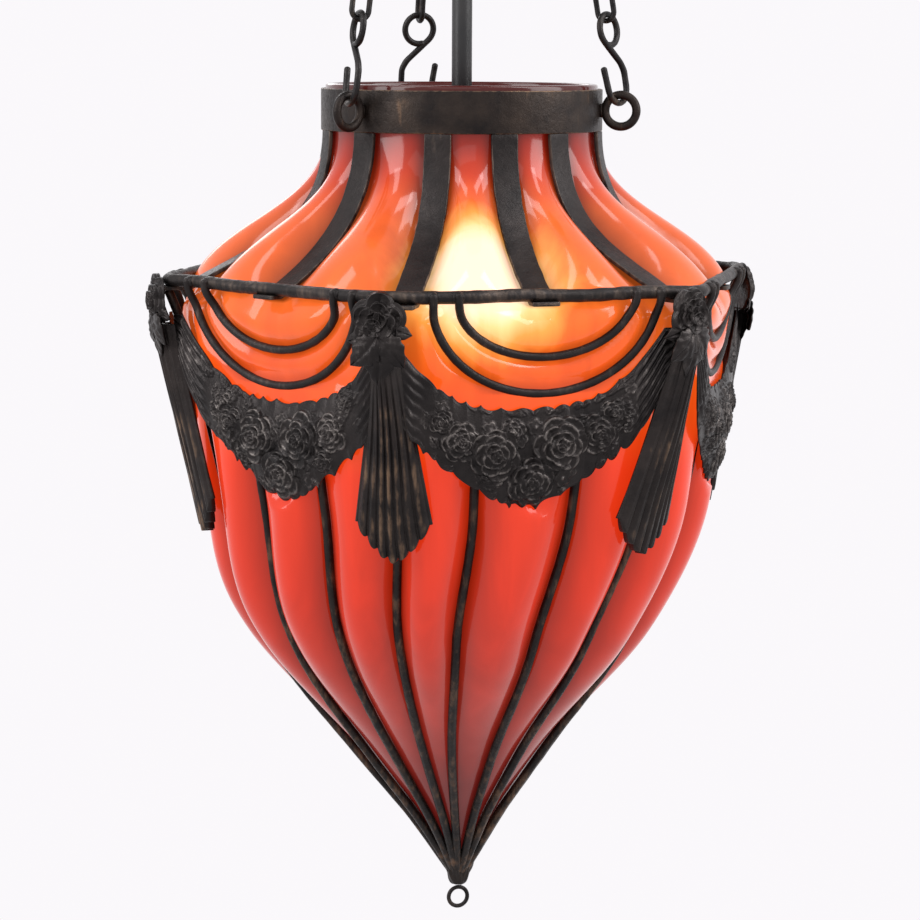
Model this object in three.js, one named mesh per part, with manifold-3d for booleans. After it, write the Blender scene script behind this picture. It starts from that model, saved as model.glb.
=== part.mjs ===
// Glass pendant lamp: opal orange glass blown into a forged iron cage, hung on three chains.
// Millimetres, +Z up. The origin is the middle of the face that lies against the ceiling.
// Azimuth 0 faces -Y, the middle of one side of the hexagonal rail, and grows towards +X.
import * as THREE from 'three';
import { mergeVertices } from 'three/addons/utils/BufferGeometryUtils.js';
import Module from 'manifold-3d';

const wasm = await Module();
wasm.setup();

// Fits
const weldGap = 0.3;          // paint and weld line between pieces that touch
const chainPlay = 0.3;        // play where one wire hangs on another
const boreFit = 0.3;          // play round the stem tube and the bulb cap

// Collar band and its three eyes
const collarRadius = 69.4;
const collarHeight = 20.4;
const collarWall = 2.0;
const eyeRadius = 7.7;        // to the middle of the wire
const eyeWire = 4.2;

// Glass
const glassWall = 4.0;
const lipRise = 3.3;          // the lip stands this far above the band
const lipRoundWidth = 0.8;    // how far the fire-polished lip rounds in
const lipRoundHeight = 1.5;
const shoulderBulge = 29.0;   // how far the lobes keep their fullness above the rail
const shoulderDrop = 36.0;
const shoulderSteep = 0.9273; // angle of the lobes' last stretch above the rail, in radians
const beltUpperDrop = 11.0;   // rows of the belt between the rail and the ribs, below the rail
const beltLowerDrop = 28.0;
const railTuck = 1.0;         // the lobes swell past the straight side of the rail
const lobeBulge = 13.0;       // how far the lower lobes stand out between the ribs
const lobePeak = 0.27;        // where they are fullest, as a part of the rib's run
const lobeSpread = 0.32;
const glassCorner = 139.5;    // the glass rounds off the corners of the rail

// Straps of the shoulder
const strapCount = 12;
const strapWidth = 13.0;
const strapThickness = 2.0;
const strapDrop = 34.0;       // the first stretch hangs almost straight down
const strapFlare = 41.0;      // the last stretch runs out to the rail
const strapSlope = 26.6;      // degrees down at the foot
const cornerRise = 0.3;       // rise for each millimetre of the longer run to a corner
const footLength = 3.5;       // the foot shows beyond the rail

// Hexagonal rail and its arcs
const railApothem = 130.0;
const railDrop = 81.3;        // below the middle of the collar
const railWire = 5.0;
const railBend = 7.0;         // length of the bend at each corner
const arcWire = 4.0;
const outerArcHalf = 55.0;
const outerArcDepth = 45.5;
const innerArcHalf = 43.0;
const innerArcDepth = 28.5;
const arcLean = 4.0;          // the lowest point of the outer arc lies this far inside the rail
const arcTail = 4.5;          // the ends of the arcs stand this far above the middle of the rail

// Ribs of the lower cage
const ribCount = 18;
const ribWire = 4.4;
const ribTopInsetDepth = 3.5; // the ribs start this far inside the rail's straight sides
const ribTopDrop = 127.0;
const ribTipRadius = 4.0;
const ribTipDrop = 386.0;
const ribTopPull = 132.0;     // length of the handle of the curve at the top
const ribTipPull = 135.0;
const ribTopLean = 6.5;       // degrees inward at the top
const ribTipLean = 36.9;      // degrees inward at the tip
const cornerSwell = 17.5;     // the corner ribs start this much farther out
const swellFade = 50.0;       // and lose it over this depth
const tipConeRadius = 9.0;
const tipConeEnd = 3.0;
const tipConeLength = 17.0;
const tipRingRadius = 4.95;
const tipRingWire = 2.1;

// Garlands, rosettes and tassels
const garlandTop = 134.5;     // depth of the upper edge in the middle of a side
const garlandTopRise = 37.0;  // the upper edge climbs by this much to the ends
const garlandFoot = 182.0;
const garlandFootRise = 40.0; // the lower edge climbs evenly by this much
const garlandEndRise = 38.0;  // and by this much more close to the corners
const garlandRelief = 7.0;
const garlandScallop = 2.4;
const garlandSheet = 1.6;     // sheet thickness at the edges
const garlandRoses = 5;       // swellings along the swag
const garlandLean = 3.0;      // the lower edge lies this much nearer the axis
const garlandEndGap = 11.5;   // from the corner of the rail to the end of the swag
const rosetteRadius = 12.0;
const rosetteDepth = 5.6;
const rosetteDrop = 90.0;
const rosettePetals = 5;
const tasselTopHalf = 7.0;
const tasselFootHalf = 18.0;
const tasselDepth = 4.6;      // half the thickness
const tasselFoot = 205.0;
const tasselLeanDepth = 23.0; // the foot hangs this much nearer the axis than the top
const tasselFlutes = 7;
const fluteDepth = 1.6;
const tasselScallop = 3.0;

// Chains, from the eye to the canopy
const chainLean = 9.5;        // degrees inward going up
const hookWire = 3.15;
const hookBend = 8.3;         // radius of the open end, to the middle of the wire
const hookLoop = 7.6;
const hookLoopRise = 35.9;    // middle of the closed loop above the lowest wire
const hookTipRise = 17.3;
const hookTipSpread = 1.2;
const linkWire = 2.7;
const linkHalfWidth = 4.4;
const linkHalfStraight = 8.05;
const linksPerChain = 3;
const stapleWire = 3.2;
const stapleBend = 6.5;
const stapleDrop = 36.0;      // lowest wire of the staple below the ceiling
const stapleTail = 2.0;       // riveted end inside the canopy

// Canopy, stem, lampholder and bulb
const canopyRadius = 75.0;
const canopyDepth = 32.0;
const canopyWall = 1.5;
const canopySkirt = 4.0;      // upright edge of the canopy
const ceilingGap = 0.5;
const plateRadius = 30.0;
const plateThickness = 2.5;
const wireHoleRadius = 5.0;
const wireHoleReach = 18.0;
const stemRadius = 5.0;
const stemWall = 1.0;
const nutRadius = 10.0;
const nutHeight = 6.0;
const holderRadius = 20.0;
const holderWall = 2.0;
const holderCapHeight = 16.0;
const holderShellHeight = 30.0;
const holderTop = 6.0;        // top of the lampholder above the middle of the collar
const bulbRadius = 30.0;
const bulbLength = 80.0;
const bulbCapRadius = 13.2;
const bulbCapLength = 24.0;
const bulbShow = 2.0;         // of the cap below the lampholder

// How far the hand forged pieces stray from their even spacing, in degrees:
// at a nominal azimuth, at the top and at the foot
const strapStray = { '-60': [0, -1.3], '-30': [3.1, 2.0], '0': [-0.3, -0.5], '30': [-5.2, -2.4] };
const ribStray = {
  '-50': [-0.5, 2.5], '-30': [-2, 0], '-10': [-4, -7], '10': [-0.5, -5.5], '30': [0.5, -9.5],
};
const hangerStray = { '-30': -1.2, '30': -2.0 };
const hookTwist = [-28, -23, 0];

// Derived places
const railRadius = railWire / 2;
const arcRadius = arcWire / 2;
const ribRadius = ribWire / 2;
const railZ = -railDrop;
const railCorner = railApothem / Math.cos(Math.PI / 6);
const ribTopRadius = railApothem - ribTopInsetDepth;
const strapTopZ = -collarHeight / 2 - weldGap;
const strapTopRadius = collarRadius - strapThickness / 2;
const strapFootZ = railZ - railRadius - weldGap - strapThickness / 2;
const neckRadius = collarRadius - collarWall - weldGap;
const lipZ = collarHeight / 2 + lipRise;
const eyeCentreRadius = collarRadius + weldGap + eyeRadius + eyeWire / 2;
const linkPitch = 2 * (linkHalfStraight + linkHalfWidth) - linkWire - chainPlay;
const hookInEye = eyeRadius - eyeWire / 2 - hookWire / 2 - chainPlay;
const firstLinkRise = hookLoopRise + hookLoop - hookWire / 2 - linkWire / 2 - chainPlay
  + linkHalfStraight + linkHalfWidth;
const stapleRise = firstLinkRise + (linksPerChain - 1) * linkPitch + linkHalfStraight + linkHalfWidth
  - linkWire / 2 - stapleWire / 2 - chainPlay;
const chainLength = hookInEye + stapleRise;
const leanSin = Math.sin(THREE.MathUtils.degToRad(chainLean));
const leanCos = Math.cos(THREE.MathUtils.degToRad(chainLean));
const stapleRadius = eyeCentreRadius - chainLength * leanSin;
const collarZ = -stapleDrop - chainLength * leanCos;

// Small geometry helpers
const rodSides = 5;
const rad = THREE.MathUtils.degToRad;
const lerp = THREE.MathUtils.lerp;
const up = new THREE.Vector3(0, 0, 1);

function outward(azimuth) {
  return new THREE.Vector3(Math.sin(rad(azimuth)), -Math.cos(rad(azimuth)), 0);
}

function sideways(azimuth) {
  return new THREE.Vector3(Math.cos(rad(azimuth)), Math.sin(rad(azimuth)), 0);
}

function polar(radius, azimuth, z) {
  return outward(azimuth).multiplyScalar(radius).setZ(z);
}

// Degrees from the middle of the nearest side of the hexagon, 0 to 30
function fromSideMiddle(azimuth) {
  const wrapped = ((azimuth % 60) + 60) % 60;
  return wrapped > 30 ? 60 - wrapped : wrapped;
}

// 0 in the middle of a side and 1 at a corner, as a hexagon's radius grows
function cornerShare(azimuth) {
  const full = 1 / Math.cos(rad(30)) - 1;
  return (1 / Math.cos(rad(fromSideMiddle(azimuth))) - 1) / full;
}

function nearest180(azimuth) {
  return ((azimuth + 180) % 360 + 360) % 360 - 180;
}

// Closed solid from points and triangles, turned so that its faces point out
function solid(points, faces) {
  const kept = [];
  let volume = 0;
  for (let i = 0; i < faces.length; i += 3) {
    const [a, b, c] = [faces[i], faces[i + 1], faces[i + 2]];
    if (a === b || b === c || c === a) continue;
    kept.push([a, b, c]);
    volume += points[a].dot(points[b].clone().cross(points[c]));
  }
  const index = kept.flatMap(([a, b, c]) => (volume < 0 ? [a, c, b] : [a, b, c]));
  const geometry = new THREE.BufferGeometry();
  geometry.setAttribute('position', new THREE.Float32BufferAttribute(points.flatMap((p) => p.toArray()), 3));
  geometry.setIndex(index);
  geometry.computeVertexNormals();
  return geometry;
}

// The same for a geometry of three's own, whose seams are merged first
function weld(geometry) {
  geometry.deleteAttribute('normal');
  geometry.deleteAttribute('uv');
  const merged = mergeVertices(geometry, 1e-4);
  const points = [];
  for (let i = 0; i < merged.attributes.position.count; i++) {
    points.push(new THREE.Vector3().fromBufferAttribute(merged.attributes.position, i));
  }
  return solid(points, Array.from(merged.index.array));
}

// Triangles between two rings of one length
function band(a, b, count) {
  const faces = [];
  for (let j = 0; j < count; j++) {
    const k = (j + 1) % count;
    faces.push(a + j, a + k, b + k, a + j, b + k, b + j);
  }
  return faces;
}

// Triangles from a ring to one point
function fan(a, centre, count) {
  const faces = [];
  for (let j = 0; j < count; j++) faces.push(a + (j + 1) % count, a + j, centre);
  return faces;
}

function middle(ring) {
  return ring.reduce((sum, p) => sum.add(p), new THREE.Vector3()).divideScalar(ring.length);
}

// Skin through rings of one length, closed end to end or capped at both ends
function loft(rings, loop = false) {
  const count = rings[0].length;
  const points = rings.flat();
  const faces = [];
  for (let i = 0; i < rings.length - 1; i++) faces.push(...band(i * count, (i + 1) * count, count));
  const last = (rings.length - 1) * count;
  if (loop) {
    faces.push(...band(last, 0, count));
    return solid(points, faces);
  }
  points.push(middle(rings[0]), middle(rings[rings.length - 1]));
  faces.push(...fan(0, points.length - 2, count));
  for (const face of [fan(last, points.length - 1, count)]) {
    for (let i = 0; i < face.length; i += 3) faces.push(face[i + 1], face[i], face[i + 2]);
  }
  return solid(points, faces);
}

// Section swept along points; its first axis stays as close to the reference as it can
function sweep(path, section, reference, loop = false) {
  const rings = path.map((point, i) => {
    const before = path[loop ? (i + path.length - 1) % path.length : Math.max(i - 1, 0)];
    const after = path[loop ? (i + 1) % path.length : Math.min(i + 1, path.length - 1)];
    const along = after.clone().sub(before).normalize();
    const across = reference.clone().addScaledVector(along, -reference.dot(along)).normalize();
    const third = along.clone().cross(across);
    return section.map(([u, v]) => point.clone().addScaledVector(across, u).addScaledVector(third, v));
  });
  return loft(rings, loop);
}

function roundSection(radius, sides) {
  return Array.from({ length: sides }, (_, i) => {
    const angle = (i + 0.5) / sides * 2 * Math.PI;
    return [radius * Math.cos(angle), radius * Math.sin(angle)];
  });
}

function arcPoints(u, w, radius, from, to, steps) {
  return Array.from({ length: steps + 1 }, (_, i) => {
    const angle = rad(lerp(from, to, i / steps));
    return [u + radius * Math.cos(angle), w + radius * Math.sin(angle)];
  });
}

// Profile of radius and height turned about the Z axis
function turned(profile, segments) {
  const geometry = new THREE.LatheGeometry(profile.map(([r, z]) => new THREE.Vector2(r, z)), segments);
  geometry.rotateX(Math.PI / 2);
  return weld(geometry);
}

function toManifold(geometry) {
  return new wasm.Manifold(new wasm.Mesh({
    numProp: 3,
    vertProperties: new Float32Array(geometry.attributes.position.array),
    triVerts: new Uint32Array(geometry.index.array),
  }));
}

function fromManifold(manifold) {
  const mesh = manifold.getMesh();
  const geometry = new THREE.BufferGeometry();
  geometry.setAttribute('position', new THREE.Float32BufferAttribute(mesh.vertProperties, 3));
  geometry.setIndex(Array.from(mesh.triVerts));
  geometry.computeVertexNormals();
  return geometry;
}

function join(geometries) {
  return fromManifold(geometries.map(toManifold).reduce((sum, next) => sum.add(next)));
}

function cut(geometry, tools) {
  return fromManifold(tools.map(toManifold).reduce((sum, next) => sum.subtract(next), toManifold(geometry)));
}

// Materials
const finishes = {
  glass: { color: 0xe8451c, roughness: 0.12, metalness: 0 },
  iron: { color: 0x2b2320, roughness: 0.55, metalness: 0.85 },
  chainIron: { color: 0x161414, roughness: 0.45, metalness: 0.8 },
  bronze: { color: 0x4a382a, roughness: 0.5, metalness: 0.85 },
  stem: { color: 0x15110f, roughness: 0.4, metalness: 0.6 },
  plate: { color: 0x8d9092, roughness: 0.4, metalness: 0.9 },
  holder: { color: 0x1a1a1a, roughness: 0.5, metalness: 0 },
  bulbCap: { color: 0xb9bcbd, roughness: 0.3, metalness: 1 },
  bulbGlass: { color: 0xfff3df, roughness: 0.2, metalness: 0 },
};

const lamp = new THREE.Group();
const shade = new THREE.Group();
shade.position.z = collarZ;
lamp.add(shade);

function addPiece(group, name, geometry, finish) {
  const mesh = new THREE.Mesh(geometry, new THREE.MeshStandardMaterial(finishes[finish]));
  mesh.name = name;
  group.add(mesh);
  return mesh;
}

// Azimuth of a forged piece: its nominal place and how it strays from top (0) to foot (1)
function strayed(nominal, table, t) {
  const [top, foot] = table[String(nearest180(nominal))] ?? [0, 0];
  return nominal + lerp(top, foot, t);
}

// Azimuth of a glass column, carried along by the two forged pieces on either side of it
function carried(nominal, first, step, table, t) {
  const below = first + Math.floor((nominal - first) / step + 1e-9) * step;
  const share = (nominal - below) / step;
  return lerp(strayed(below, table, t), strayed(below + step, table, t), share);
}

// Middle line of a strap as radius and height: hangs from the band and flares out to the rail
function strapLine(t, share) {
  const lift = (railCorner - railApothem) * share * cornerRise;
  const end = new THREE.Vector2(railApothem - railRadius, strapFootZ + lift);
  const slope = rad(strapSlope);
  const line = new THREE.CubicBezierCurve(
    new THREE.Vector2(strapTopRadius, strapTopZ),
    new THREE.Vector2(strapTopRadius, strapTopZ - strapDrop - lift),
    new THREE.Vector2(end.x - strapFlare * Math.cos(slope), end.y + strapFlare * Math.sin(slope)),
    end,
  );
  return { point: line.getPoint(t), along: line.getTangent(t) };
}

// Middle line of a rib as radius and height
const ribLine = new THREE.CubicBezierCurve(
  new THREE.Vector2(ribTopRadius, -ribTopDrop),
  new THREE.Vector2(ribTopRadius - ribTopPull * Math.sin(rad(ribTopLean)),
    -ribTopDrop - ribTopPull * Math.cos(rad(ribTopLean))),
  new THREE.Vector2(ribTipRadius + ribTipPull * Math.sin(rad(ribTipLean)),
    -ribTipDrop + ribTipPull * Math.cos(rad(ribTipLean))),
  new THREE.Vector2(ribTipRadius, -ribTipDrop),
);

// What the rail's corners add to the radius of the cage, at an azimuth and a height
function swell(azimuth, z) {
  return cornerSwell * cornerShare(azimuth) * Math.exp((z - strapFootZ) / swellFade);
}

function ribPoint(t, azimuth) {
  const point = ribLine.getPoint(t);
  return polar(point.x + swell(azimuth, point.y), azimuth, point.y);
}

// Distance of the arcs' middle plane from the axis, measured square to a side
function arcPlane(z) {
  return railApothem - arcLean * (railZ - z) / outerArcDepth;
}

// Distance of the back of a garland from the axis, measured the same way
function garlandBack(z) {
  const seat = (ribTopRadius + weldGap) * Math.cos(rad(180 / ribCount)) + ribRadius + weldGap;
  return seat - garlandLean * (-garlandTop - z) / (garlandFoot - garlandTop);
}

// Height of the outer arc's middle line at a distance along the side
function outerArcZ(along) {
  return railZ - outerArcDepth * Math.sqrt(Math.max(0, 1 - (along / outerArcHalf) ** 2));
}

// Stations that straps or ribs share with the glass under them
const strapStations = [0.15, 0.3, 0.45, 0.6, 0.8, 1];
const ribStations = [0, 0.08, 0.17, 0.28, 0.4, 0.53, 0.67, 0.8, 0.92];

// The glass: a neck in the band, twelve lobes between the straps, eighteen between the ribs
const columns = 72;
const strapSeat = 0.4;        // part of the step that lies flat behind a strap
const grooveMargin = 1.3;     // the grooves are cut this much deeper where ribs stray together

// 0 at a pinch and 1 on the crest of a lobe; the seat is the part of the step that stays flat
function lobe(nominal, first, step, seat) {
  const share = (((nominal - first) / step) % 1 + 1) % 1;
  return Math.max(0, 1 - ((2 * share - 1) / (1 - seat)) ** 2);
}

function shoulderPoint(nominal, t, inset) {
  const azimuth = carried(nominal, 0, 360 / strapCount, strapStray, t);
  const { point, along } = strapLine(t, cornerShare(nominal));
  const depth = strapThickness / 2 + 2 * weldGap + inset;
  const pinch = new THREE.Vector2(point.x + along.y * depth, point.y - along.x * depth);
  const toSide = Math.cos(rad(fromSideMiddle(azimuth)));
  if (inset > 0) {
    return polar(Math.min(pinch.x, (railApothem - railRadius - inset) / toSide), azimuth, pinch.y);
  }
  const crestLine = new THREE.CubicBezierCurve(
    new THREE.Vector2(neckRadius, strapTopZ),
    new THREE.Vector2(neckRadius, strapTopZ - shoulderDrop),
    new THREE.Vector2(railApothem + railTuck - shoulderBulge * Math.cos(shoulderSteep),
      railZ + shoulderBulge * Math.sin(shoulderSteep)),
    new THREE.Vector2(railApothem + railTuck, railZ),
  );
  const place = pinch.lerp(crestLine.getPoint(t), lobe(nominal, 0, 360 / strapCount, strapSeat));
  return polar(Math.min(place.x, (railApothem - railRadius - weldGap) / toSide), azimuth, place.y);
}

// Radius of the glass where only the rail's arcs and the corner ribs hold it
function beltRadius(azimuth, z, inset) {
  const flat = (arcPlane(z) - arcRadius - weldGap) / Math.cos(rad(fromSideMiddle(azimuth)));
  const rib = ribTopRadius + (z + ribTopDrop) * Math.tan(rad(ribTopLean)) + cornerSwell
    * Math.exp((z - strapFootZ) / swellFade) - ribRadius - 2 * weldGap;
  return Math.min(flat, rib, glassCorner) - inset;
}

function bellyPoint(nominal, t, inset) {
  const first = 180 / ribCount;
  const step = 360 / ribCount;
  const azimuth = carried(nominal, first, step, ribStray, t);
  const point = ribLine.getPoint(t);
  const along = ribLine.getTangent(t);
  const fullness = lobeBulge * Math.exp(-(((t - lobePeak) / lobeSpread) ** 2));
  const grooveSlope = grooveMargin * 3 * fullness / (rad(step) * point.x);
  const depth = (ribRadius + weldGap) * Math.hypot(1, grooveSlope) + inset;
  const radius = point.x + swell(azimuth, point.y) + along.y * depth;
  const height = point.y - along.x * depth;
  if (inset > 0) return polar(Math.min(radius, beltRadius(azimuth, height, inset)), azimuth, height);
  if (t === 0) return polar(Math.min(radius, beltRadius(azimuth, height, 0)), azimuth, height);
  const bulge = fullness * lobe(nominal, first, step, 0);
  const behind = height > -garlandFoot - 3 * garlandScallop
    ? (garlandBack(height) - weldGap) / Math.cos(rad(fromSideMiddle(azimuth))) : Infinity;
  return polar(Math.min(radius - bulge * along.y, behind), azimuth, height + bulge * along.x);
}

function glassRing(count, place) {
  return Array.from({ length: count }, (_, i) => place(i * 360 / count));
}

function makeGlass() {
  const bandFoot = -collarHeight / 2;
  const beltHeights = [railZ - beltUpperDrop, railZ - beltLowerDrop];
  const outer = [
    glassRing(columns, (a) => polar(neckRadius - lipRoundWidth, a, lipZ)),
    glassRing(columns, (a) => polar(neckRadius, a, lipZ - lipRoundHeight)),
    glassRing(columns, (a) => polar(neckRadius, a, bandFoot)),
    ...strapStations.map((t) => glassRing(columns, (a) => shoulderPoint(a, t, 0))),
    ...beltHeights.map((z) => glassRing(columns, (a) => {
      const azimuth = carried(a, 0, 360 / strapCount, strapStray, 1);
      return polar(beltRadius(azimuth, z, 0), azimuth, z);
    })),
    ...ribStations.map((t) => glassRing(columns, (a) => bellyPoint(a, t, 0))),
  ];
  const half = columns / 2;
  const inner = [
    glassRing(half, (a) => polar(neckRadius - glassWall + lipRoundWidth, a, lipZ)),
    glassRing(half, (a) => polar(neckRadius - glassWall, a, bandFoot)),
    ...[0.25, 0.5, 0.75].map((t) => glassRing(half, (a) => shoulderPoint(a, t, glassWall))),
    ...beltHeights.map((z) => glassRing(half, (a) => polar(beltRadius(a, z, glassWall), a, z))),
    ...[0.17, 0.35, 0.53, 0.72, 0.88].map((t) => glassRing(half, (a) => bellyPoint(a, t, glassWall))),
  ];
  const points = [...outer.flat(), ...inner.flat()];
  const faces = [];
  for (let i = 0; i < outer.length - 1; i++) faces.push(...band(i * columns, (i + 1) * columns, columns));
  const innerStart = outer.length * columns;
  const innerBands = [];
  for (let i = 0; i < inner.length - 1; i++) {
    innerBands.push(...band(innerStart + i * half, innerStart + (i + 1) * half, half));
  }
  const lip = [];
  for (let k = 0; k < half; k++) {
    const next = (k + 1) % half;
    const [a, b, c] = [2 * k, 2 * k + 1, (2 * k + 2) % columns];
    const [d, e] = [innerStart + k, innerStart + next];
    lip.push(a, d, b, b, d, e, b, e, c);
  }
  const outerFoot = (outer.length - 1) * columns;
  const innerFoot = innerStart + (inner.length - 1) * half;
  const foot = ribLine.getPoint(0.97).y;
  points.push(new THREE.Vector3(0, 0, foot), new THREE.Vector3(0, 0, foot + 2 * glassWall));
  const outerCap = fan(outerFoot, points.length - 2, columns);
  const innerCap = fan(innerFoot, points.length - 1, half);
  faces.push(...flipped(innerBands), ...lip, ...flipped(outerCap), ...innerCap);
  return solid(points, faces);
}

function flipped(faces) {
  const out = [];
  for (let i = 0; i < faces.length; i += 3) out.push(faces[i], faces[i + 2], faces[i + 1]);
  return out;
}

addPiece(shade, 'glass_shade', makeGlass(), 'glass');

// Collar band: a flat ring bent from strip
const bandTop = collarHeight / 2;
const bandInner = collarRadius - collarWall;
addPiece(shade, 'collar_band', turned([[bandInner, -bandTop], [collarRadius, -bandTop],
  [collarRadius, bandTop], [bandInner, bandTop], [bandInner, -bandTop]], 36), 'bronze');

// Three eyes welded to the band, each in an upright plane through the axis
const chainAzimuths = [-60, 60, 180];
chainAzimuths.forEach((azimuth, i) => {
  const circle = arcPoints(0, 0, eyeRadius, 0, 360, 14).slice(0, -1);
  const path = circle.map(([u, w]) => polar(eyeCentreRadius + u, azimuth, w));
  const ring = sweep(path, roundSection(eyeWire / 2, rodSides), sideways(azimuth), true);
  addPiece(shade, `collar_eye_${i + 1}`, ring, 'chainIron');
});

// Straps from the band to the rail; each foot passes under the rail
for (let i = 0; i < strapCount; i++) {
  const nominal = i * 360 / strapCount;
  const share = cornerShare(nominal);
  const reach = share < 0.5 ? railApothem + footLength : railCorner + railRadius;
  const path = [0, ...strapStations].map((t) => {
    const { point } = strapLine(t, share);
    return polar(point.x, strayed(nominal, strapStray, t), point.y);
  });
  const footAzimuth = strayed(nominal, strapStray, 1);
  if (share > 0.5) path.push(polar(reach - 4 * footLength, footAzimuth, strapFootZ));
  path.push(polar(reach, footAzimuth, strapFootZ));
  const section = [[-1, -1], [1, -1], [1, 1], [-1, 1]]
    .map(([u, v]) => [u * strapWidth / 2, v * strapThickness / 2]);
  addPiece(shade, `strap_${String(i + 1).padStart(2, '0')}`, sweep(path, section, sideways(nominal)), 'iron');
}

// Hexagonal rail with two arcs welded to each side
function makeRail() {
  const path = [];
  for (let corner = 0; corner < 6; corner++) {
    const azimuth = -30 + corner * 60;
    const point = polar(railCorner, azimuth, railZ);
    const back = sideways(azimuth - 30).multiplyScalar(-railBend);
    const ahead = sideways(azimuth + 30).multiplyScalar(railBend);
    path.push(point.clone().add(back));
    path.push(point.clone().addScaledVector(back, 0.12).addScaledVector(ahead, 0.12));
    path.push(point.clone().add(ahead));
  }
  const pieces = [sweep(path, roundSection(railRadius, 6), up, true)];
  for (let side = 0; side < 6; side++) {
    const azimuth = side * 60;
    for (const [half, depth] of [[outerArcHalf, outerArcDepth], [innerArcHalf, innerArcDepth]]) {
      const curve = arcPoints(0, 0, 1, 180, 360, 8).map(([u, w]) => {
        const z = railZ + depth * w;
        return outward(azimuth).multiplyScalar(arcPlane(z))
          .addScaledVector(sideways(azimuth), half * u).setZ(z);
      });
      curve.unshift(curve[0].clone().setZ(railZ + arcTail));
      curve.push(curve[curve.length - 1].clone().setZ(railZ + arcTail));
      pieces.push(sweep(curve, roundSection(arcRadius, rodSides), outward(azimuth)));
    }
  }
  return join(pieces);
}

addPiece(shade, 'hex_rail', makeRail(), 'iron');

// Ribs of the lower cage, run together in a rough welded cone at the tip
function makeRibs() {
  const pieces = [];
  for (let i = 0; i < ribCount; i++) {
    const nominal = (i + 0.5) * 360 / ribCount;
    const top = strayed(nominal, ribStray, 0);
    const corner = cornerShare(nominal) > 0.9;
    const path = ribStations.slice(1).map((t) => ribPoint(t, strayed(nominal, ribStray, t)));
    path.push(ribPoint(1, strayed(nominal, ribStray, 1)));
    const base = ribTopRadius + swell(top, -ribTopDrop);
    if (corner) {
      const start = strapFootZ - strapThickness / 2 - 3 * weldGap;
      const between = lerp(start, -ribTopDrop, 0.5);
      for (const z of [-ribTopDrop, between, start]) {
        const flare = ribTopRadius + (z + ribTopDrop) * Math.tan(rad(ribTopLean)) + swell(nominal, z);
        path.unshift(polar(flare, top, z));
      }
    } else {
      const off = nearest180(top - Math.round(top / 60) * 60);
      const clear = arcRadius + ribRadius / 2 + weldGap;
      path.unshift(polar(base + weldGap, top, outerArcZ(base * Math.sin(rad(off))) - clear));
    }
    pieces.push(sweep(path, roundSection(ribRadius, rodSides), sideways(nominal)));
  }
  const coneTop = -ribTipDrop + tipConeRadius;
  pieces.push(turned([[0, coneTop], [tipConeRadius, coneTop], [tipConeEnd, coneTop - tipConeLength],
    [0, coneTop - tipConeLength]], 12));
  return join(pieces);
}

addPiece(shade, 'rib_cage', makeRibs(), 'iron');

const tipRingZ = -ribTipDrop + tipConeRadius - tipConeLength - weldGap - tipRingWire / 2 - tipRingRadius;
const tipRingPath = arcPoints(0, 0, tipRingRadius, 0, 360, 12).slice(0, -1)
  .map(([u, w]) => new THREE.Vector3(u, 0, tipRingZ + w));
const tipRing = sweep(tipRingPath, roundSection(tipRingWire / 2, rodSides), outward(0), true);
addPiece(shade, 'tip_ring', tipRing, 'iron');

// Garlands: pressed swags of roses and leaves, one along each side, lying on the ribs below the arcs
const garlandHalf = railCorner / 2 - garlandEndGap;

function makeGarland(azimuth) {
  const steps = 16;
  const rings = [];
  for (let i = 0; i <= steps; i++) {
    const share = lerp(-1, 1, i / steps);
    const along = share * garlandHalf;
    const ripple = Math.cos(share * garlandRoses * Math.PI);
    const fade = 1 - share ** 6;
    const topZ = -garlandTop + garlandTopRise * Math.abs(share) ** 2.8 - garlandScallop * ripple * fade / 2;
    const footZ = -garlandFoot + garlandFootRise * Math.abs(share) ** 1.3 + garlandEndRise * share ** 6
      - garlandScallop * ripple * fade;
    const relief = garlandRelief * (0.7 + 0.3 * ripple) * (1 - 0.85 * share ** 2);
    const at = (z, out) => outward(azimuth).multiplyScalar(garlandBack(z) + out)
      .addScaledVector(sideways(azimuth), along).setZ(z);
    rings.push([
      at(topZ, 0),
      at(topZ, garlandSheet),
      at(lerp(topZ, footZ, 0.25), garlandSheet + relief * 0.7),
      at(lerp(topZ, footZ, 0.5), garlandSheet + relief),
      at(lerp(topZ, footZ, 0.75), garlandSheet + relief * 0.7),
      at(footZ, garlandSheet),
      at(footZ, 0),
    ]);
  }
  return loft(rings);
}

for (let side = 0; side < 6; side++) {
  addPiece(shade, `garland_${side + 1}`, makeGarland(side * 60), 'bronze');
}

// Rosettes: five-petalled bosses on the corners of the rail
const rosetteBack = railCorner + railRadius + weldGap;

function makeRosette(azimuth) {
  const centre = polar(rosetteBack, azimuth, -rosetteDrop);
  const ring = (radius, out, petal) => Array.from({ length: 3 * rosettePetals }, (_, i) => {
    const angle = i / (3 * rosettePetals) * 2 * Math.PI;
    const reach = radius * (1 - petal * (0.5 - 0.5 * Math.cos(angle * rosettePetals)));
    return centre.clone().addScaledVector(sideways(azimuth), reach * Math.sin(angle))
      .addScaledVector(up, -reach * Math.cos(angle)).addScaledVector(outward(azimuth), out);
  });
  return loft([
    ring(rosetteRadius * 0.9, 0, 0.12),
    ring(rosetteRadius, rosetteDepth * 0.5, 0.12),
    ring(rosetteRadius * 0.55, rosetteDepth, 0),
    ring(rosetteRadius * 0.2, rosetteDepth * 0.75, 0),
  ]);
}

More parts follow.
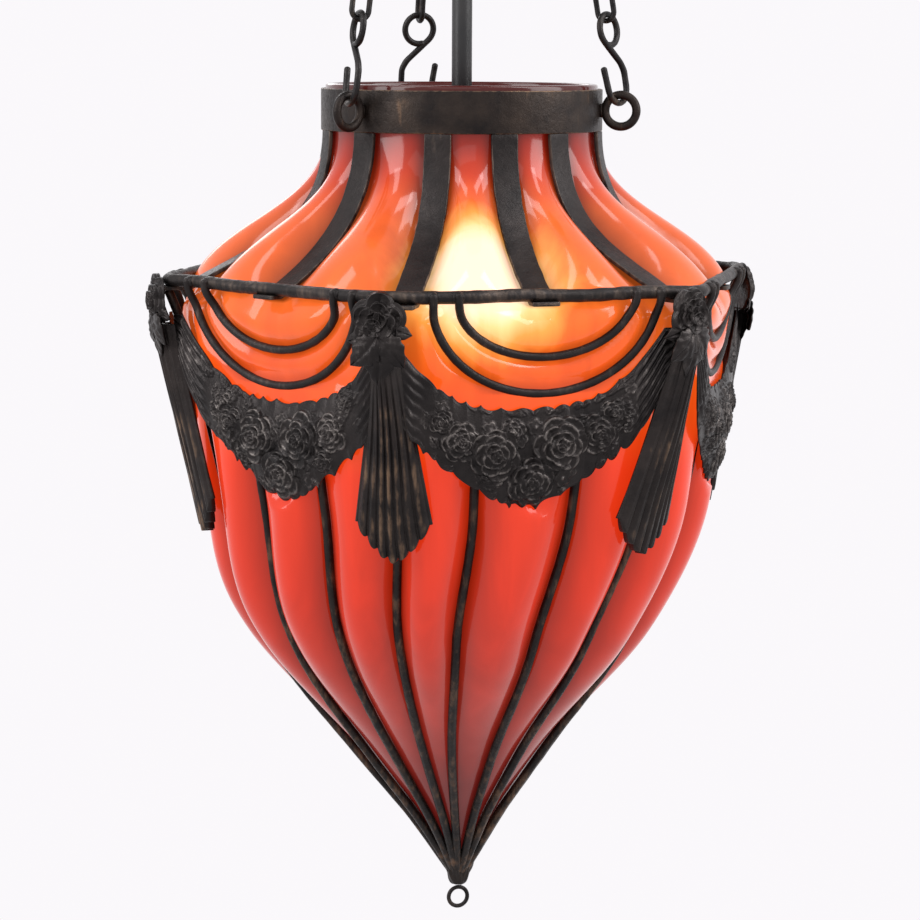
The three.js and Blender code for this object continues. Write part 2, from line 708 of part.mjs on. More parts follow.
// Tassels: fluted drops that hang below the rosettes and spread towards the foot
function makeTassel(azimuth) {
  const topZ = -rosetteDrop - rosetteRadius - weldGap;
  const rings = [0, 0.3, 0.65, 1].map((share) => {
    const half = lerp(tasselTopHalf, tasselFootHalf, share ** 0.8);
    const centre = polar(rosetteBack - tasselLeanDepth * share, azimuth, lerp(topZ, -tasselFoot, share));
    const at = (x, out, drop) => centre.clone().addScaledVector(sideways(azimuth), x)
      .addScaledVector(outward(azimuth), out).addScaledVector(up, -drop);
    const front = Array.from({ length: 2 * tasselFlutes + 1 }, (_, i) => {
      const x = lerp(-1, 1, i / (2 * tasselFlutes));
      const crest = i % 2;
      const out = tasselDepth * (1 - 1.2 * x ** 2) + fluteDepth * crest * share ** 0.5;
      return at(x * half, out, share === 1 ? tasselScallop * crest : 0);
    });
    return [...front, at(half * 0.9, -tasselDepth, 0), at(-half * 0.9, -tasselDepth, 0)];
  });
  return loft(rings);
}

for (let corner = 0; corner < 6; corner++) {
  const nominal = -30 + corner * 60;
  const azimuth = nominal + (hangerStray[String(nearest180(nominal))] ?? 0);
  addPiece(shade, `rosette_${corner + 1}`, makeRosette(azimuth), 'bronze');
  addPiece(shade, `tassel_${corner + 1}`, makeTassel(azimuth), 'bronze');
}

// Chains. A chain's own axes: u across the hook's plane, w up the chain from the hook's lowest wire.
function chainFrame(azimuth, acrossAzimuth) {
  const along = outward(azimuth).multiplyScalar(-leanSin).addScaledVector(up, leanCos);
  const eye = polar(eyeCentreRadius, azimuth, 0);
  const origin = eye.addScaledVector(along, hookInEye);
  const turn = outward(acrossAzimuth);
  const across = turn.addScaledVector(along, -turn.dot(along)).normalize();
  const point = ([u, w]) => origin.clone().addScaledVector(across, u).addScaledVector(along, w);
  return { point, normal: along.clone().cross(across) };
}

// S-hook bent from one wire: closed loop, diagonal, long leg, open bend and short leg
function makeHook(azimuth, twist) {
  const { point, normal } = chainFrame(azimuth, azimuth - 90 + twist);
  const path = [
    ...arcPoints(0, hookLoopRise, hookLoop, -110, -405, 12),
    [-hookBend + 2.2, hookTipRise + 2.2],
    [-hookBend, hookTipRise - 2],
    ...arcPoints(0, hookBend, hookBend, 180, 360, 7),
    [hookBend + hookTipSpread, hookTipRise],
  ];
  return sweep(path.map(point), roundSection(hookWire / 2, rodSides), normal);
}

function makeLink(azimuth, acrossAzimuth, rise) {
  const { point, normal } = chainFrame(azimuth, acrossAzimuth);
  const path = [
    ...arcPoints(0, rise + linkHalfStraight, linkHalfWidth, 0, 180, 6),
    ...arcPoints(0, rise - linkHalfStraight, linkHalfWidth, 180, 360, 6),
  ];
  return sweep(path.map(point), roundSection(linkWire / 2, rodSides), normal, true);
}

const linkNames = ['c', 'b', 'a'];
chainAzimuths.forEach((azimuth, i) => {
  const twist = hookTwist[i];
  addPiece(shade, `chain_hook_${i + 1}`, makeHook(azimuth, twist), 'chainIron');
  for (let k = 0; k < linksPerChain; k++) {
    const easing = twist * (1 - (k + 1) / (linksPerChain + 1));
    const across = azimuth - (k % 2 ? 90 : 0) + easing;
    const link = makeLink(azimuth, across, firstLinkRise + k * linkPitch);
    addPiece(shade, `link_${linkNames[k]}_${i + 1}`, link, 'chainIron');
  }
});

// Canopy: a spun dish with three wire staples riveted through its flank
function canopyZ(radius, rim, depth) {
  const fall = Math.sqrt(Math.max(0, 1 - (radius / rim) ** 2));
  return -ceilingGap - canopySkirt - (depth - ceilingGap - canopySkirt) * fall;
}

function makeCanopy() {
  const bore = stemRadius + boreFit;
  const dish = (rim, depth) => Array.from({ length: 6 }, (_, i) => {
    const start = Math.asin(bore / rim);
    const radius = rim * Math.sin(lerp(Math.PI / 2, start, i / 5));
    return [radius, canopyZ(radius, rim, depth)];
  });
  const outer = [[canopyRadius, -ceilingGap], ...dish(canopyRadius, canopyDepth)];
  const inner = [[canopyRadius - canopyWall, -ceilingGap],
    ...dish(canopyRadius - canopyWall, canopyDepth - canopyWall)].reverse();
  const shell = turned([...outer, ...inner, outer[0]], 24);
  const legTop = canopyZ(stapleRadius, canopyRadius - canopyWall, canopyDepth - canopyWall) + stapleTail;
  const staples = chainAzimuths.map((azimuth) => {
    const bend = arcPoints(0, stapleBend - stapleDrop, stapleBend, 180, 360, 6);
    const path = [[-stapleBend, legTop], ...bend, [stapleBend, legTop]]
      .map(([u, z]) => polar(stapleRadius, azimuth, z).addScaledVector(sideways(azimuth), u));
    return sweep(path, roundSection(stapleWire / 2, rodSides), outward(azimuth));
  });
  return join([shell, ...staples]);
}

addPiece(lamp, 'canopy', makeCanopy(), 'chainIron');

// Ceiling plate with its off-centre wire hole, and the nut that hangs the stem from it
function disc(radius, bottom, top, segments) {
  return turned([[0, bottom], [radius, bottom], [radius, top], [0, top]], segments);
}

const wireHole = disc(wireHoleRadius, -2 * plateThickness, plateThickness, 12).translate(wireHoleReach, 0, 0);
addPiece(lamp, 'ceiling_plate', cut(disc(plateRadius, -plateThickness, 0, 24), [wireHole]), 'plate');

const nutTop = -plateThickness - weldGap;
const stemBore = disc(stemRadius + boreFit, -canopyDepth - 3 * nutHeight, 1, 16);
const nut = disc(nutRadius, nutTop - nutHeight, nutTop, 6);
addPiece(lamp, 'stem_nut', cut(nut, [stemBore]), 'plate');

const canopyFoot = -canopyDepth - weldGap;
const canopyRing = disc(nutRadius, canopyFoot - nutHeight, canopyFoot, 16);
addPiece(lamp, 'canopy_ring', cut(canopyRing, [stemBore]), 'chainIron');

// Stem tube down to the lampholder
const holderZ = collarZ + holderTop;
const stemFoot = holderZ - holderCapHeight / 2;
const stemInner = stemRadius - stemWall;
addPiece(lamp, 'stem_tube', turned([[stemInner, stemFoot], [stemRadius, stemFoot], [stemRadius, nutTop],
  [stemInner, nutTop], [stemInner, stemFoot]], 16), 'stem');

// Lampholder: a domed cap on the stem and a body bored for the bulb
const capFoot = holderZ - holderCapHeight;
const capBore = stemRadius + boreFit;
addPiece(lamp, 'holder_cap', turned([
  [capBore, holderZ], [capBore + holderWall, holderZ], [holderRadius * 0.75, holderZ - 4],
  [holderRadius, capFoot + 4], [holderRadius, capFoot], [holderRadius - holderWall, capFoot],
  [holderRadius - holderWall, capFoot + 4], [holderRadius * 0.75 - holderWall, holderZ - 4 - holderWall],
  [capBore, holderZ - 2 * holderWall], [capBore, holderZ]], 16), 'holder');

const shellTop = capFoot - weldGap;
const shellFoot = shellTop - holderShellHeight;
const shellBore = bulbCapRadius + boreFit;
addPiece(lamp, 'holder_shell', turned([[shellBore, shellFoot], [holderRadius - 1, shellFoot],
  [holderRadius, shellTop], [shellBore, shellTop], [shellBore, shellFoot]], 16), 'holder');

// Bulb: screw cap and pear-shaped envelope, which turn together
const bulbCapFoot = shellFoot - bulbShow;
addPiece(lamp, 'bulb_cap', disc(bulbCapRadius, bulbCapFoot, bulbCapFoot + bulbCapLength, 16), 'bulbCap');

const bulbTop = bulbCapFoot - weldGap;
const bulbMiddle = bulbTop - bulbLength + bulbRadius;
const bulbRound = arcPoints(0, bulbMiddle, bulbRadius, -90, 25, 6);
addPiece(lamp, 'bulb_glass', turned([...bulbRound, [bulbCapRadius + 3, bulbTop - 16],
  [bulbCapRadius, bulbTop], [0, bulbTop]], 16), 'bulbGlass');

export default lamp;
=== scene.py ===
import bmesh
import bpy
import math
import numpy as np
from mathutils import Matrix, Vector


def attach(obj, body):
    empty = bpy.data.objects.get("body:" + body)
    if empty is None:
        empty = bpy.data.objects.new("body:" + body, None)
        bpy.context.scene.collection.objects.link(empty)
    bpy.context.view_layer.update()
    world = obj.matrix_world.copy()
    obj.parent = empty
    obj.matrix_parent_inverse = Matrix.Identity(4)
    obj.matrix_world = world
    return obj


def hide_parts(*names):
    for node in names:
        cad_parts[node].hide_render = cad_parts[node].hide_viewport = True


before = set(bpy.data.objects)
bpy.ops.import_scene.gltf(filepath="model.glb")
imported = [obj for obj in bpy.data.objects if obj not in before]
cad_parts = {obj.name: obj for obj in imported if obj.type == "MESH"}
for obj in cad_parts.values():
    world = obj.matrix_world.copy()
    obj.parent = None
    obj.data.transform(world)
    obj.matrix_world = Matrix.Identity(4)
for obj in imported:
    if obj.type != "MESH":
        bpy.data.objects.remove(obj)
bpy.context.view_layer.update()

# Camera: 36 mm above the collar, 1.5 m away and 17.5 degrees to the left of a flat side, looking
# 8 degrees down at the axis, with a very slight roll.
camera = bpy.data.objects.new("camera", bpy.data.cameras.new("camera"))
bpy.context.scene.collection.objects.link(camera)
bpy.context.scene.camera = camera
bpy.context.scene.view_settings.view_transform = "Standard"
camera.data.lens = 118.2
camera.data.sensor_width = 36
camera_distance, camera_height = 1.5, -0.10795
camera_azimuth, camera_pitch, camera_roll = math.radians(-17.55), math.radians(-8.0), math.radians(0.27)
back = Vector((math.sin(camera_azimuth), -math.cos(camera_azimuth), 0))
ahead = -back * math.cos(camera_pitch) + Vector((0, 0, math.sin(camera_pitch)))
rightward = ahead.cross(Vector((0, 0, 1))).normalized()
facing = Matrix((rightward, rightward.cross(ahead), -ahead)).transposed().to_4x4()
stand = Matrix.Translation(back * camera_distance + Vector((0, 0, camera_height)))
camera.matrix_world = stand @ facing @ Matrix.Rotation(camera_roll, 4, "Z")


# Ceiling plate and stem nut: zinc-plated pressed steel, hidden above the canopy. The CAD shapes are
# right, so they stay and get a dull crystalline zinc finish.
def fill(tree, socket, value):
    """An input linked to another node's output, or set to a value; colours come without their alpha."""
    if isinstance(value, bpy.types.NodeSocket):
        tree.links.new(value, socket)
    else:
        socket.default_value = (*value, 1) if socket.type == "RGBA" else value


def node(tree, kind, values=(), **settings):
    """One node of a shader tree. Values fill its inputs by name or number."""
    made = tree.nodes.new("ShaderNode" + kind)
    for key, value in settings.items():
        setattr(made, key, value)
    for key, value in dict(values).items():
        fill(tree, made.inputs[key], value)
    return made


def ramp(tree, value, stops):
    """Colour or grey by value: stops are (position, colour or grey)."""
    made = node(tree, "ValToRGB", {0: value})
    while len(made.color_ramp.elements) < len(stops):
        made.color_ramp.elements.new(0.5)
    for element, (place, colour) in zip(made.color_ramp.elements, stops):
        element.position = place
        element.color = (*(colour if hasattr(colour, "__len__") else (colour,) * 3), 1)
    return made.outputs["Color"]


def blend_colours(tree, share, a, b, how="MIX"):
    """Colour a, b or between them by a share of 0 to 1."""
    return node(tree, "Mix", {0: share, 6: a, 7: b}, data_type="RGBA", blend_type=how).outputs[2]


def noise(tree, scale, detail=2.0, roughness=0.5):
    """Noise on the piece's own coordinates, at a scale per metre."""
    place = node(tree, "TexCoord").outputs["Object"]
    values = {"Vector": place, "Scale": scale, "Detail": detail, "Roughness": roughness}
    return node(tree, "TexNoise", values).outputs["Fac"]


def streaks(tree, across, along, detail, distortion=0.0):
    """Noise drawn out along the height, at scales per metre across and along it."""
    place = node(tree, "TexCoord").outputs["Object"]
    drawn = node(tree, "Mapping", {"Vector": place, "Scale": (across, across, along)}).outputs[0]
    values = {"Vector": drawn, "Scale": 1.0, "Detail": detail, "Distortion": distortion}
    return node(tree, "TexNoise", values).outputs["Fac"]


def maths(tree, how, *values):
    """One step of arithmetic with the values in turn."""
    return node(tree, "Math", enumerate(values), operation=how).outputs[0]


def between(tree, value, start, end, **settings):
    """Where a value lies between two others: 0 at the start and 1 at the end."""
    return node(tree, "MapRange", {"Value": value, "From Min": start, "From Max": end}, **settings).outputs[0]


def bumps(tree, strength, depth, height):
    """Normal of a skin that a height from 0 to 1 raises by the depth in metres."""
    return node(tree, "Bump", {"Strength": strength, "Distance": depth, "Height": height}).outputs[0]


def material(name):
    """New material with its Principled shader, and its tree."""
    made = bpy.data.materials.new(name)
    made.use_nodes = True
    return made, made.node_tree, made.node_tree.nodes["Principled BSDF"]


def set_shader(tree, shader, **values):
    """Values or sockets for the shader's own inputs, with underscores for the spaces in their names."""
    for key, value in values.items():
        fill(tree, shader.inputs[key.replace("_", " ")], value)


zinc, tree, shader = material("zinc")
place = node(tree, "TexCoord").outputs["Object"]
spangle = node(tree, "TexVoronoi", {"Vector": place, "Scale": 260.0}).outputs["Distance"]
grain = noise(tree, 900.0, 4.0)
set_shader(tree, shader, Metallic=0.9, Normal=bumps(tree, 0.15, 0.0003, grain),
           Base_Color=ramp(tree, spangle, [(0.0, (0.42, 0.43, 0.45)), (0.7, (0.62, 0.63, 0.64))]),
           Roughness=ramp(tree, grain, [(0.3, 0.34), (0.7, 0.5)]))
for name in ("ceiling_plate", "stem_nut"):
    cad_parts[name].data.materials.clear()
    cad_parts[name].data.materials.append(zinc)


# Canopy: a dish spun from thin steel and blackened, with three wire staples riveted through its
# flank for the chains. Its rim stands half a millimetre off the ceiling.
def grid_faces(rows, columns, around, over):
    """Quads of a grid of points numbered row by row; around closes each row, over closes the columns."""
    i, j = np.meshgrid(np.arange(rows if over else rows - 1), np.arange(columns if around else columns - 1),
                       indexing="ij")
    k, m = (j + 1) % columns, (i + 1) % rows
    return np.stack([i * columns + j, i * columns + k, m * columns + k, m * columns + j], -1).reshape(-1, 4)


def make_piece(name, sheets, finish, body, nodes=()):
    """Object from sheets of points in millimetres: (points of rows x columns x 3, around, over, crest).
    Crest is a number or an array, kept as an attribute from 0 in the hollows to 1 on the ridges. On the iron
    it marks worn ridges, which on the pressed iron also stand for a painted highlight; on the glass it sets
    painted shade in the pinches."""
    points, faces, crests, start = [], [], [], 0
    for sheet, around, over, crest in sheets:
        rows, columns = sheet.shape[:2]
        points.append(sheet.reshape(-1, 3) * 0.001)
        faces.append(grid_faces(rows, columns, around, over) + start)
        crests.append(np.broadcast_to(crest, (rows, columns)).ravel())
        start += rows * columns
    mesh = bpy.data.meshes.new(name)
    mesh.from_pydata(np.concatenate(points).tolist(), [], np.concatenate(faces).tolist())
    layer = mesh.attributes.new("crest", "FLOAT", "POINT")
    layer.data.foreach_set("value", np.concatenate(crests).astype(np.float32))
    built = bmesh.new()
    built.from_mesh(mesh)
    bmesh.ops.remove_doubles(built, verts=built.verts, dist=2e-6)
    bmesh.ops.dissolve_degenerate(built, edges=built.edges, dist=1e-7)
    bmesh.ops.recalc_face_normals(built, faces=built.faces)
    built.to_mesh(mesh)
    built.free()
    mesh.shade_smooth()
    mesh.materials.append(finish)
    piece = bpy.data.objects.new(name, mesh)
    bpy.context.scene.collection.objects.link(piece)
    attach(piece, body)
    if nodes:
        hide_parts(*nodes)
    return piece


def polar(radius, azimuth, height):
    """Point at a radius and an azimuth in degrees, 0 facing -Y and growing towards +X."""
    azimuth = np.radians(azimuth)
    return np.stack(np.broadcast_arrays(radius * np.sin(azimuth), -radius * np.cos(azimuth), height), -1)


def unit(azimuth):
    """Level unit vector at an azimuth."""
    return polar(1.0, azimuth, 0.0)


def turned_sheet(profile, columns, closed=True):
    """Profile of (radius, height) carried once round the axis; closed joins its last point to its first."""
    azimuth = np.linspace(0, 360, columns, endpoint=False)[None]
    return polar(profile[:, :1], azimuth, profile[:, 1:]), True, closed, 0.5


def rounded(corners, radius, steps=4):
    """Closed profile with each corner replaced by an arc: a quadratic curve through points that lie
    the radius away from the corner on both sides."""
    corners = np.asarray(corners, float)
    before, after = np.roll(corners, 1, 0) - corners, np.roll(corners, -1, 0) - corners
    reach = [np.minimum(radius, 0.45 * np.linalg.norm(side, axis=1))[:, None] for side in (before, after)]
    start = corners + before / np.linalg.norm(before, axis=1)[:, None] * reach[0]
    end = corners + after / np.linalg.norm(after, axis=1)[:, None] * reach[1]
    t = np.linspace(0, 1, steps + 1)[None, :, None]
    arc = (1 - t) ** 2 * start[:, None] + 2 * t * (1 - t) * corners[:, None] + t ** 2 * end[:, None]
    return arc.reshape(-1, 2)


def rounded_band(inner, outer, first, last, radius):
    """Closed rectangle between two radii and two heights, its corners rounded by the radius."""
    return rounded([[inner, first], [outer, first], [outer, last], [inner, last]], radius)


def square_to(along, reference):
    """Unit vectors along a path, across it towards the reference, and square to both."""
    along = along / np.linalg.norm(along, axis=1)[:, None]
    across = reference - along * (reference * along).sum(1)[:, None]
    across = across / np.linalg.norm(across, axis=1)[:, None]
    return along, across, np.cross(along, across)


def wire(path, radius, reference, sides=14, loop=False, crest=0.5):
    """Round wire: path + radius * (cos(angle) * across + sin(angle) * third), where across is the part of
    the reference square to the path. Open ends are rounded over by a quarter turn, 0.7 radii deep."""
    radius = np.broadcast_to(radius, len(path))
    if not loop:
        turn = np.radians([0, 30, 60, 80, 90])
        first, last = path[0] - path[1], path[-1] - path[-2]
        first, last = first / np.linalg.norm(first), last / np.linalg.norm(last)
        cap = np.sin(turn)[:, None] * 0.7
        path = np.concatenate([path[0] + (first * radius[0] * cap)[::-1], path[1:-1],
                               path[-1] + last * radius[-1] * cap])
        radius = np.concatenate([(radius[0] * np.cos(turn))[::-1], radius[1:-1], radius[-1] * np.cos(turn)])
    along = np.roll(path, -1, 0) - np.roll(path, 1, 0) if loop else np.gradient(path, axis=0)
    along, across, third = square_to(along, reference)
    angle = np.linspace(0, 2 * math.pi, sides, endpoint=False)[None, :, None]
    sheet = path[:, None] + radius[:, None, None] * (np.cos(angle) * across[:, None]
                                                     + np.sin(angle) * third[:, None])
    return sheet, True, loop, crest


def wobble(count, length, spacing, seed, loop=False):
    """Smooth chance from -1 to 1 along a line of that length: cosines with waves near the spacing."""
    chance = np.random.default_rng(seed)
    s = np.linspace(0, 1, count, endpoint=not loop)
    waves = np.arange(1, max(3, int(2 * length / spacing)))
    weight = np.exp(-((waves * spacing / length - 1) ** 2) / 0.5)
    phase = chance.uniform(0, 2 * math.pi, len(waves))
    total = (weight[:, None] * np.cos(2 * math.pi * waves[:, None] * s + phase[:, None])).sum(0)
    return total / max(1e-9, np.abs(total).max())


def iron_surface():
    """Shader group for old blackened iron. It puts out: mottle, slow changes of tone; speckle, fine
    pits; wear, high on ridges and in worn patches; and the normal of a hammered, pitted skin."""
    group = bpy.data.node_groups.new("iron_surface", "ShaderNodeTree")
    for name, kind in (("Mottle", "NodeSocketFloat"), ("Speckle", "NodeSocketFloat"),
                       ("Wear", "NodeSocketFloat"), ("Normal", "NodeSocketVector")):
        group.interface.new_socket(name, in_out="OUTPUT", socket_type=kind)
    place = node(group, "TexCoord").outputs["Object"]
    mottle, speckle = noise(group, 55.0, 5.0, 0.6), noise(group, 700.0, 4.0, 0.65)
    dents = node(group, "TexVoronoi", {"Vector": place, "Scale": 210.0, "Smoothness": 1.0},
                 feature="SMOOTH_F1").outputs["Distance"]
    crest = node(group, "Attribute", attribute_name="crest").outputs["Fac"]
    patches = maths(group, "ADD", mottle, streaks(group, 420.0, 60.0, 3.0))
    rubbed = maths(group, "MULTIPLY_ADD", crest, 0.9, patches)
    wear = between(group, rubbed, 1.5, 2.0, interpolation_type="SMOOTHSTEP")
    height = maths(group, "ADD", dents, speckle)
    out = group.nodes.new("NodeGroupOutput")
    for socket, value in (("Mottle", mottle), ("Speckle", speckle), ("Wear", wear),
                          ("Normal", bumps(group, 0.35, 0.0006, height))):
        group.links.new(value, out.inputs[socket])
    return group


iron_skin = iron_surface()


def iron_material(name, dark, light, worn, metallic, roughness):
    """Blackened iron: two tones by the mottle, a worn tone on the ridges, and roughness by the pits."""
    made, tree, shader = material(name)
    skin = node(tree, "Group", node_tree=iron_skin).outputs
    tone = ramp(tree, skin["Mottle"], [(0.32, dark), (0.68, light)])
    rubbed = blend_colours(tree, skin["Wear"], tone, worn)
    pits = ramp(tree, skin["Speckle"], [(0.3, roughness - 0.1), (0.75, roughness + 0.14)])
    set_shader(tree, shader, Metallic=metallic, Base_Color=rubbed, Roughness=pits, Normal=skin["Normal"],
               Specular_IOR_Level=0.2)
    return made


black_iron = iron_material("black_iron", (0.012, 0.011, 0.012), (0.026, 0.023, 0.022), (0.085, 0.06, 0.045),
                           0.55, 0.4)
canopy_radius, canopy_depth, canopy_wall, canopy_skirt, ceiling_gap = 75.0, 32.0, 1.5, 4.0, 0.5
stem_radius, stem_fit = 5.0, 0.3
stem_hole = stem_radius + stem_fit


def dish(rim, depth, steps=40):
    """Profile of the dish from its rim to the stem hole: an ellipse of the rim's radius and the depth."""
    radius = rim * np.sin(np.linspace(math.pi / 2, math.asin(stem_hole / rim), steps))
    top = ceiling_gap + canopy_skirt
    return np.stack([radius, -top - (depth - top) * np.sqrt(1 - (radius / rim) ** 2)], 1)


inner_radius, rim_z = canopy_radius - canopy_wall, -ceiling_gap - 0.3
canopy_profile = [[[canopy_radius, rim_z]], dish(canopy_radius, canopy_depth),
                  dish(inner_radius, canopy_depth - canopy_wall)[::-1], [[inner_radius, rim_z]],
                  [[canopy_radius - canopy_wall / 2, -ceiling_gap]]]
canopy_sheets = [turned_sheet(np.concatenate(canopy_profile), 144)]

# The chain's run fixes where the staples hang and how far down the shade sits.
collar_radius, weld_gap = 69.4, 0.3
eye_radius, eye_wire = 7.7, 4.2
hook_wire, hook_bend, hook_loop, hook_loop_rise, hook_tip_rise = 3.15, 8.3, 7.6, 35.9, 17.3
link_wire, link_half_width, link_half_straight, chain_play = 2.7, 4.4, 8.05, 0.3
staple_wire, staple_bend, staple_drop = 3.2, 6.5, 36.0
chain_lean = math.radians(9.5)
eye_centre = collar_radius + weld_gap + eye_radius + eye_wire / 2
hook_in_eye = eye_radius - eye_wire / 2 - hook_wire / 2 - chain_play
link_pitch = 2 * (link_half_straight + link_half_width) - link_wire - chain_play
first_link = (hook_loop_rise + hook_loop - hook_wire / 2 - link_wire / 2 - chain_play
              + link_half_straight + link_half_width)
chain_run = (hook_in_eye + first_link + 2 * link_pitch + link_half_straight + link_half_width
             - link_wire / 2 - staple_wire / 2 - chain_play)
staple_radius = eye_centre - chain_run * math.sin(chain_lean)
collar_z = -staple_drop - chain_run * math.cos(chain_lean)
chain_azimuths = (-60, 60, 180)
flank = dish(canopy_radius, canopy_depth)[::-1]
staple_top = float(np.interp(staple_radius, flank[:, 0], flank[:, 1])) + 3.4
turn = np.radians(np.linspace(180, 360, 25))
leg = np.linspace(staple_top, staple_bend - staple_drop + 1, 6)
across = np.concatenate([[-staple_bend] * 6, staple_bend * np.cos(turn), [staple_bend] * 6])
height = np.concatenate([leg, staple_bend - staple_drop + staple_bend * np.sin(turn), leg[::-1]])
for azimuth in chain_azimuths:
    run = polar(staple_radius, azimuth, height) + across[:, None] * unit(azimuth + 90)
    canopy_sheets.append(wire(run, staple_wire / 2, unit(azimuth)))
make_piece("spun_canopy", canopy_sheets, black_iron, "fixture", ["canopy"])

# Canopy ring: a turned collar pinned to the stem, which holds the canopy up.
ring_radius, ring_top, ring_foot = 10.0, -canopy_depth - 0.3, -canopy_depth - 6.3
ring = rounded_band(stem_hole, ring_radius, ring_top, ring_foot, 1.4)
make_piece("turned_canopy_ring", [turned_sheet(ring, 72)], black_iron, "fixture",
           ["canopy_ring"])

# Stem: drawn steel tube of 10 mm, painted satin black, down through the collar to the lampholder.
satin, tree, shader = material("satin_black_paint")
orange_peel, dust = noise(tree, 1400.0), noise(tree, 90.0, 6.0)
set_shader(tree, shader, Metallic=0.0, Normal=bumps(tree, 0.12, 0.0002, orange_peel),
           Base_Color=ramp(tree, dust, [(0.35, (0.008, 0.008, 0.009)), (0.75, (0.019, 0.018, 0.018))]),
           Roughness=ramp(tree, dust, [(0.3, 0.3), (0.7, 0.46)]))
holder_top = collar_z + 6.0
stem_wall, stem_top, stem_foot = 1.0, -2.8, holder_top - 8
stem = rounded_band(stem_radius - stem_wall, stem_radius, stem_foot, stem_top, 0.35)
make_piece("painted_stem", [turned_sheet(stem, 64)], satin, "fixture", ["stem_tube"])

# Lampholder: a domed cap on the stem and a ribbed body below it, moulded in black plastic.
plastic, tree, shader = material("moulded_plastic")
fine = noise(tree, 2500.0)
set_shader(tree, shader, Metallic=0.0, Normal=bumps(tree, 0.1, 0.0002, fine),
           Base_Color=ramp(tree, fine, [(0.3, (0.014, 0.013, 0.012)), (0.7, (0.022, 0.021, 0.02))]),
           Roughness=ramp(tree, fine, [(0.3, 0.36), (0.7, 0.5)]))
holder_radius, holder_bore, cap_foot = 20.0, 18.0, holder_top - 16
cap = rounded([[stem_hole, holder_top], [stem_hole + 2, holder_top], [15.0, holder_top - 4],
               [holder_radius, cap_foot + 4], [holder_radius, cap_foot], [holder_bore, cap_foot],
               [holder_bore, cap_foot + 4], [13.0, holder_top - 6], [stem_hole, holder_top - 4]], 1.6, 6)
make_piece("moulded_holder_cap", [turned_sheet(cap, 96)], plastic, "fixture",
           ["holder_cap"])
shell_top, shell_length, shell_bore, ribbing_pitch = cap_foot - 0.3, 30.0, 13.5, 3.0
ribbing = np.linspace(shell_top - 1, shell_top - shell_length + 2, 90)
flute = 0.35 * (0.5 + 0.5 * np.cos(ribbing * 2 * math.pi / ribbing_pitch))
grip = np.stack([19.7 - 0.033 * (shell_top - ribbing) - flute, ribbing], 1)
shell_foot = shell_top - shell_length
shell = np.concatenate([[[shell_bore, shell_top], [19.6, shell_top]], grip,
                        [[18.6, shell_foot], [shell_bore, shell_foot]]])
make_piece("ribbed_holder_shell", [turned_sheet(shell, 96)], plastic, "fixture",
           ["holder_shell"])

# Bulb: a frosted pear-shaped lamp lit inside the glass, on a bright threaded cap.
bright, tree, shader = material("nickel_cap")
scuff = noise(tree, 500.0, 5.0)
set_shader(tree, shader, Metallic=1.0,
           Base_Color=ramp(tree, scuff, [(0.3, (0.5, 0.5, 0.49)), (0.7, (0.68, 0.68, 0.66))]),
           Roughness=ramp(tree, scuff, [(0.3, 0.2), (0.7, 0.42)]))
bulb_cap_foot, bulb_cap_radius, bulb_cap_length, thread_pitch = shell_top - 32, 12.9, 24, 3.6
thread = np.linspace(bulb_cap_foot + 1.2, bulb_cap_foot + 21, 100)
cap_side = np.stack([12.6 + 0.6 * np.cos((thread - bulb_cap_foot) * 2 * math.pi / thread_pitch), thread], 1)
contact = bulb_cap_foot + bulb_cap_length
cap = np.concatenate([[[0, bulb_cap_foot], [bulb_cap_radius, bulb_cap_foot]], cap_side,
                      [[7.0, contact], [0, contact]]])
make_piece("threaded_bulb_cap", [turned_sheet(cap, 72, False)], bright, "bulb", ["bulb_cap"])
lit, tree, shader = material("lit_frosted_glass")
place = node(tree, "TexCoord").outputs["Object"]
rise = node(tree, "SeparateXYZ", {0: place}).outputs["Z"]
warmth = between(tree, rise, -0.27, -0.19)
frost = noise(tree, 1500.0)
glow = ramp(tree, warmth, [(0.1, (1.0, 0.86, 0.62)), (0.9, (0.75, 0.42, 0.2))])
set_shader(tree, shader, Metallic=0.0, Base_Color=glow, Emission_Color=glow, Emission_Strength=4.0,
           Roughness=ramp(tree, frost, [(0.3, 0.3), (0.7, 0.5)]))
bulb_radius, bulb_top = 30, bulb_cap_foot - 0.3
bulb_middle = bulb_top - 50
turn = np.radians(np.linspace(-90, 22, 40))
bulb_neck = [[22.5, bulb_top - 24.5], [18.0, bulb_top - 17], [15.0, bulb_top - 9], [13.4, bulb_top - 3],
             [bulb_cap_radius, bulb_top], [0, bulb_top]]
pear = np.concatenate([np.stack([bulb_radius * np.cos(turn), bulb_middle + bulb_radius * np.sin(turn)], 1),
                       bulb_neck])
pear[0, 0] = 0
make_piece("pear_bulb", [turned_sheet(pear, 96, False)], lit, "bulb", ["bulb_glass"])

# Glass shade: one bubble of orange-red glass cased over opal, blown into the finished iron cage, so
# that it bulges between the straps, arcs and ribs and is pinched behind each of them. Fire-polished lip.
collar_wall, band_half = 1.95, 10.2
neck, glass_wall, lip_z = 67.1, 4.0, 12.6
strap_knots = np.arange(-180, 180, 30.0)
strap_top = np.array([0, 0, 0, 0, 0, 3.1, -0.3, -5.2, 0, 0, 0, 0])
strap_foot = np.array([0, 0, 0, 0, -1.3, 2.0, -0.5, -2.4, 0, 0, 0, 0])
rib_knots = np.arange(-170, 190, 20.0)
rib_top = np.array([0, 0, 0, 0, 0, 0, -0.5, -2, -4, -0.5, 0.5, 0, 0, 0, 0, 0, 0, 0])
rib_foot = np.array([0, 0, 0, 0, 0, 0, 2.5, 0, -7, -5.5, -9.5, 0, 0, 0, 0, 0, 0, 0])
strap_radius, strap_run = 68.4, 41
rail_apothem, rail_wire, rail_z = 130.0, 5.0, -81.3
rail_corner = rail_apothem / math.cos(math.pi / 6)
arcs = ((55, 45.5), (43, 28.5))
strap_foot_z = rail_z - rail_wire / 2 - weld_gap - 1
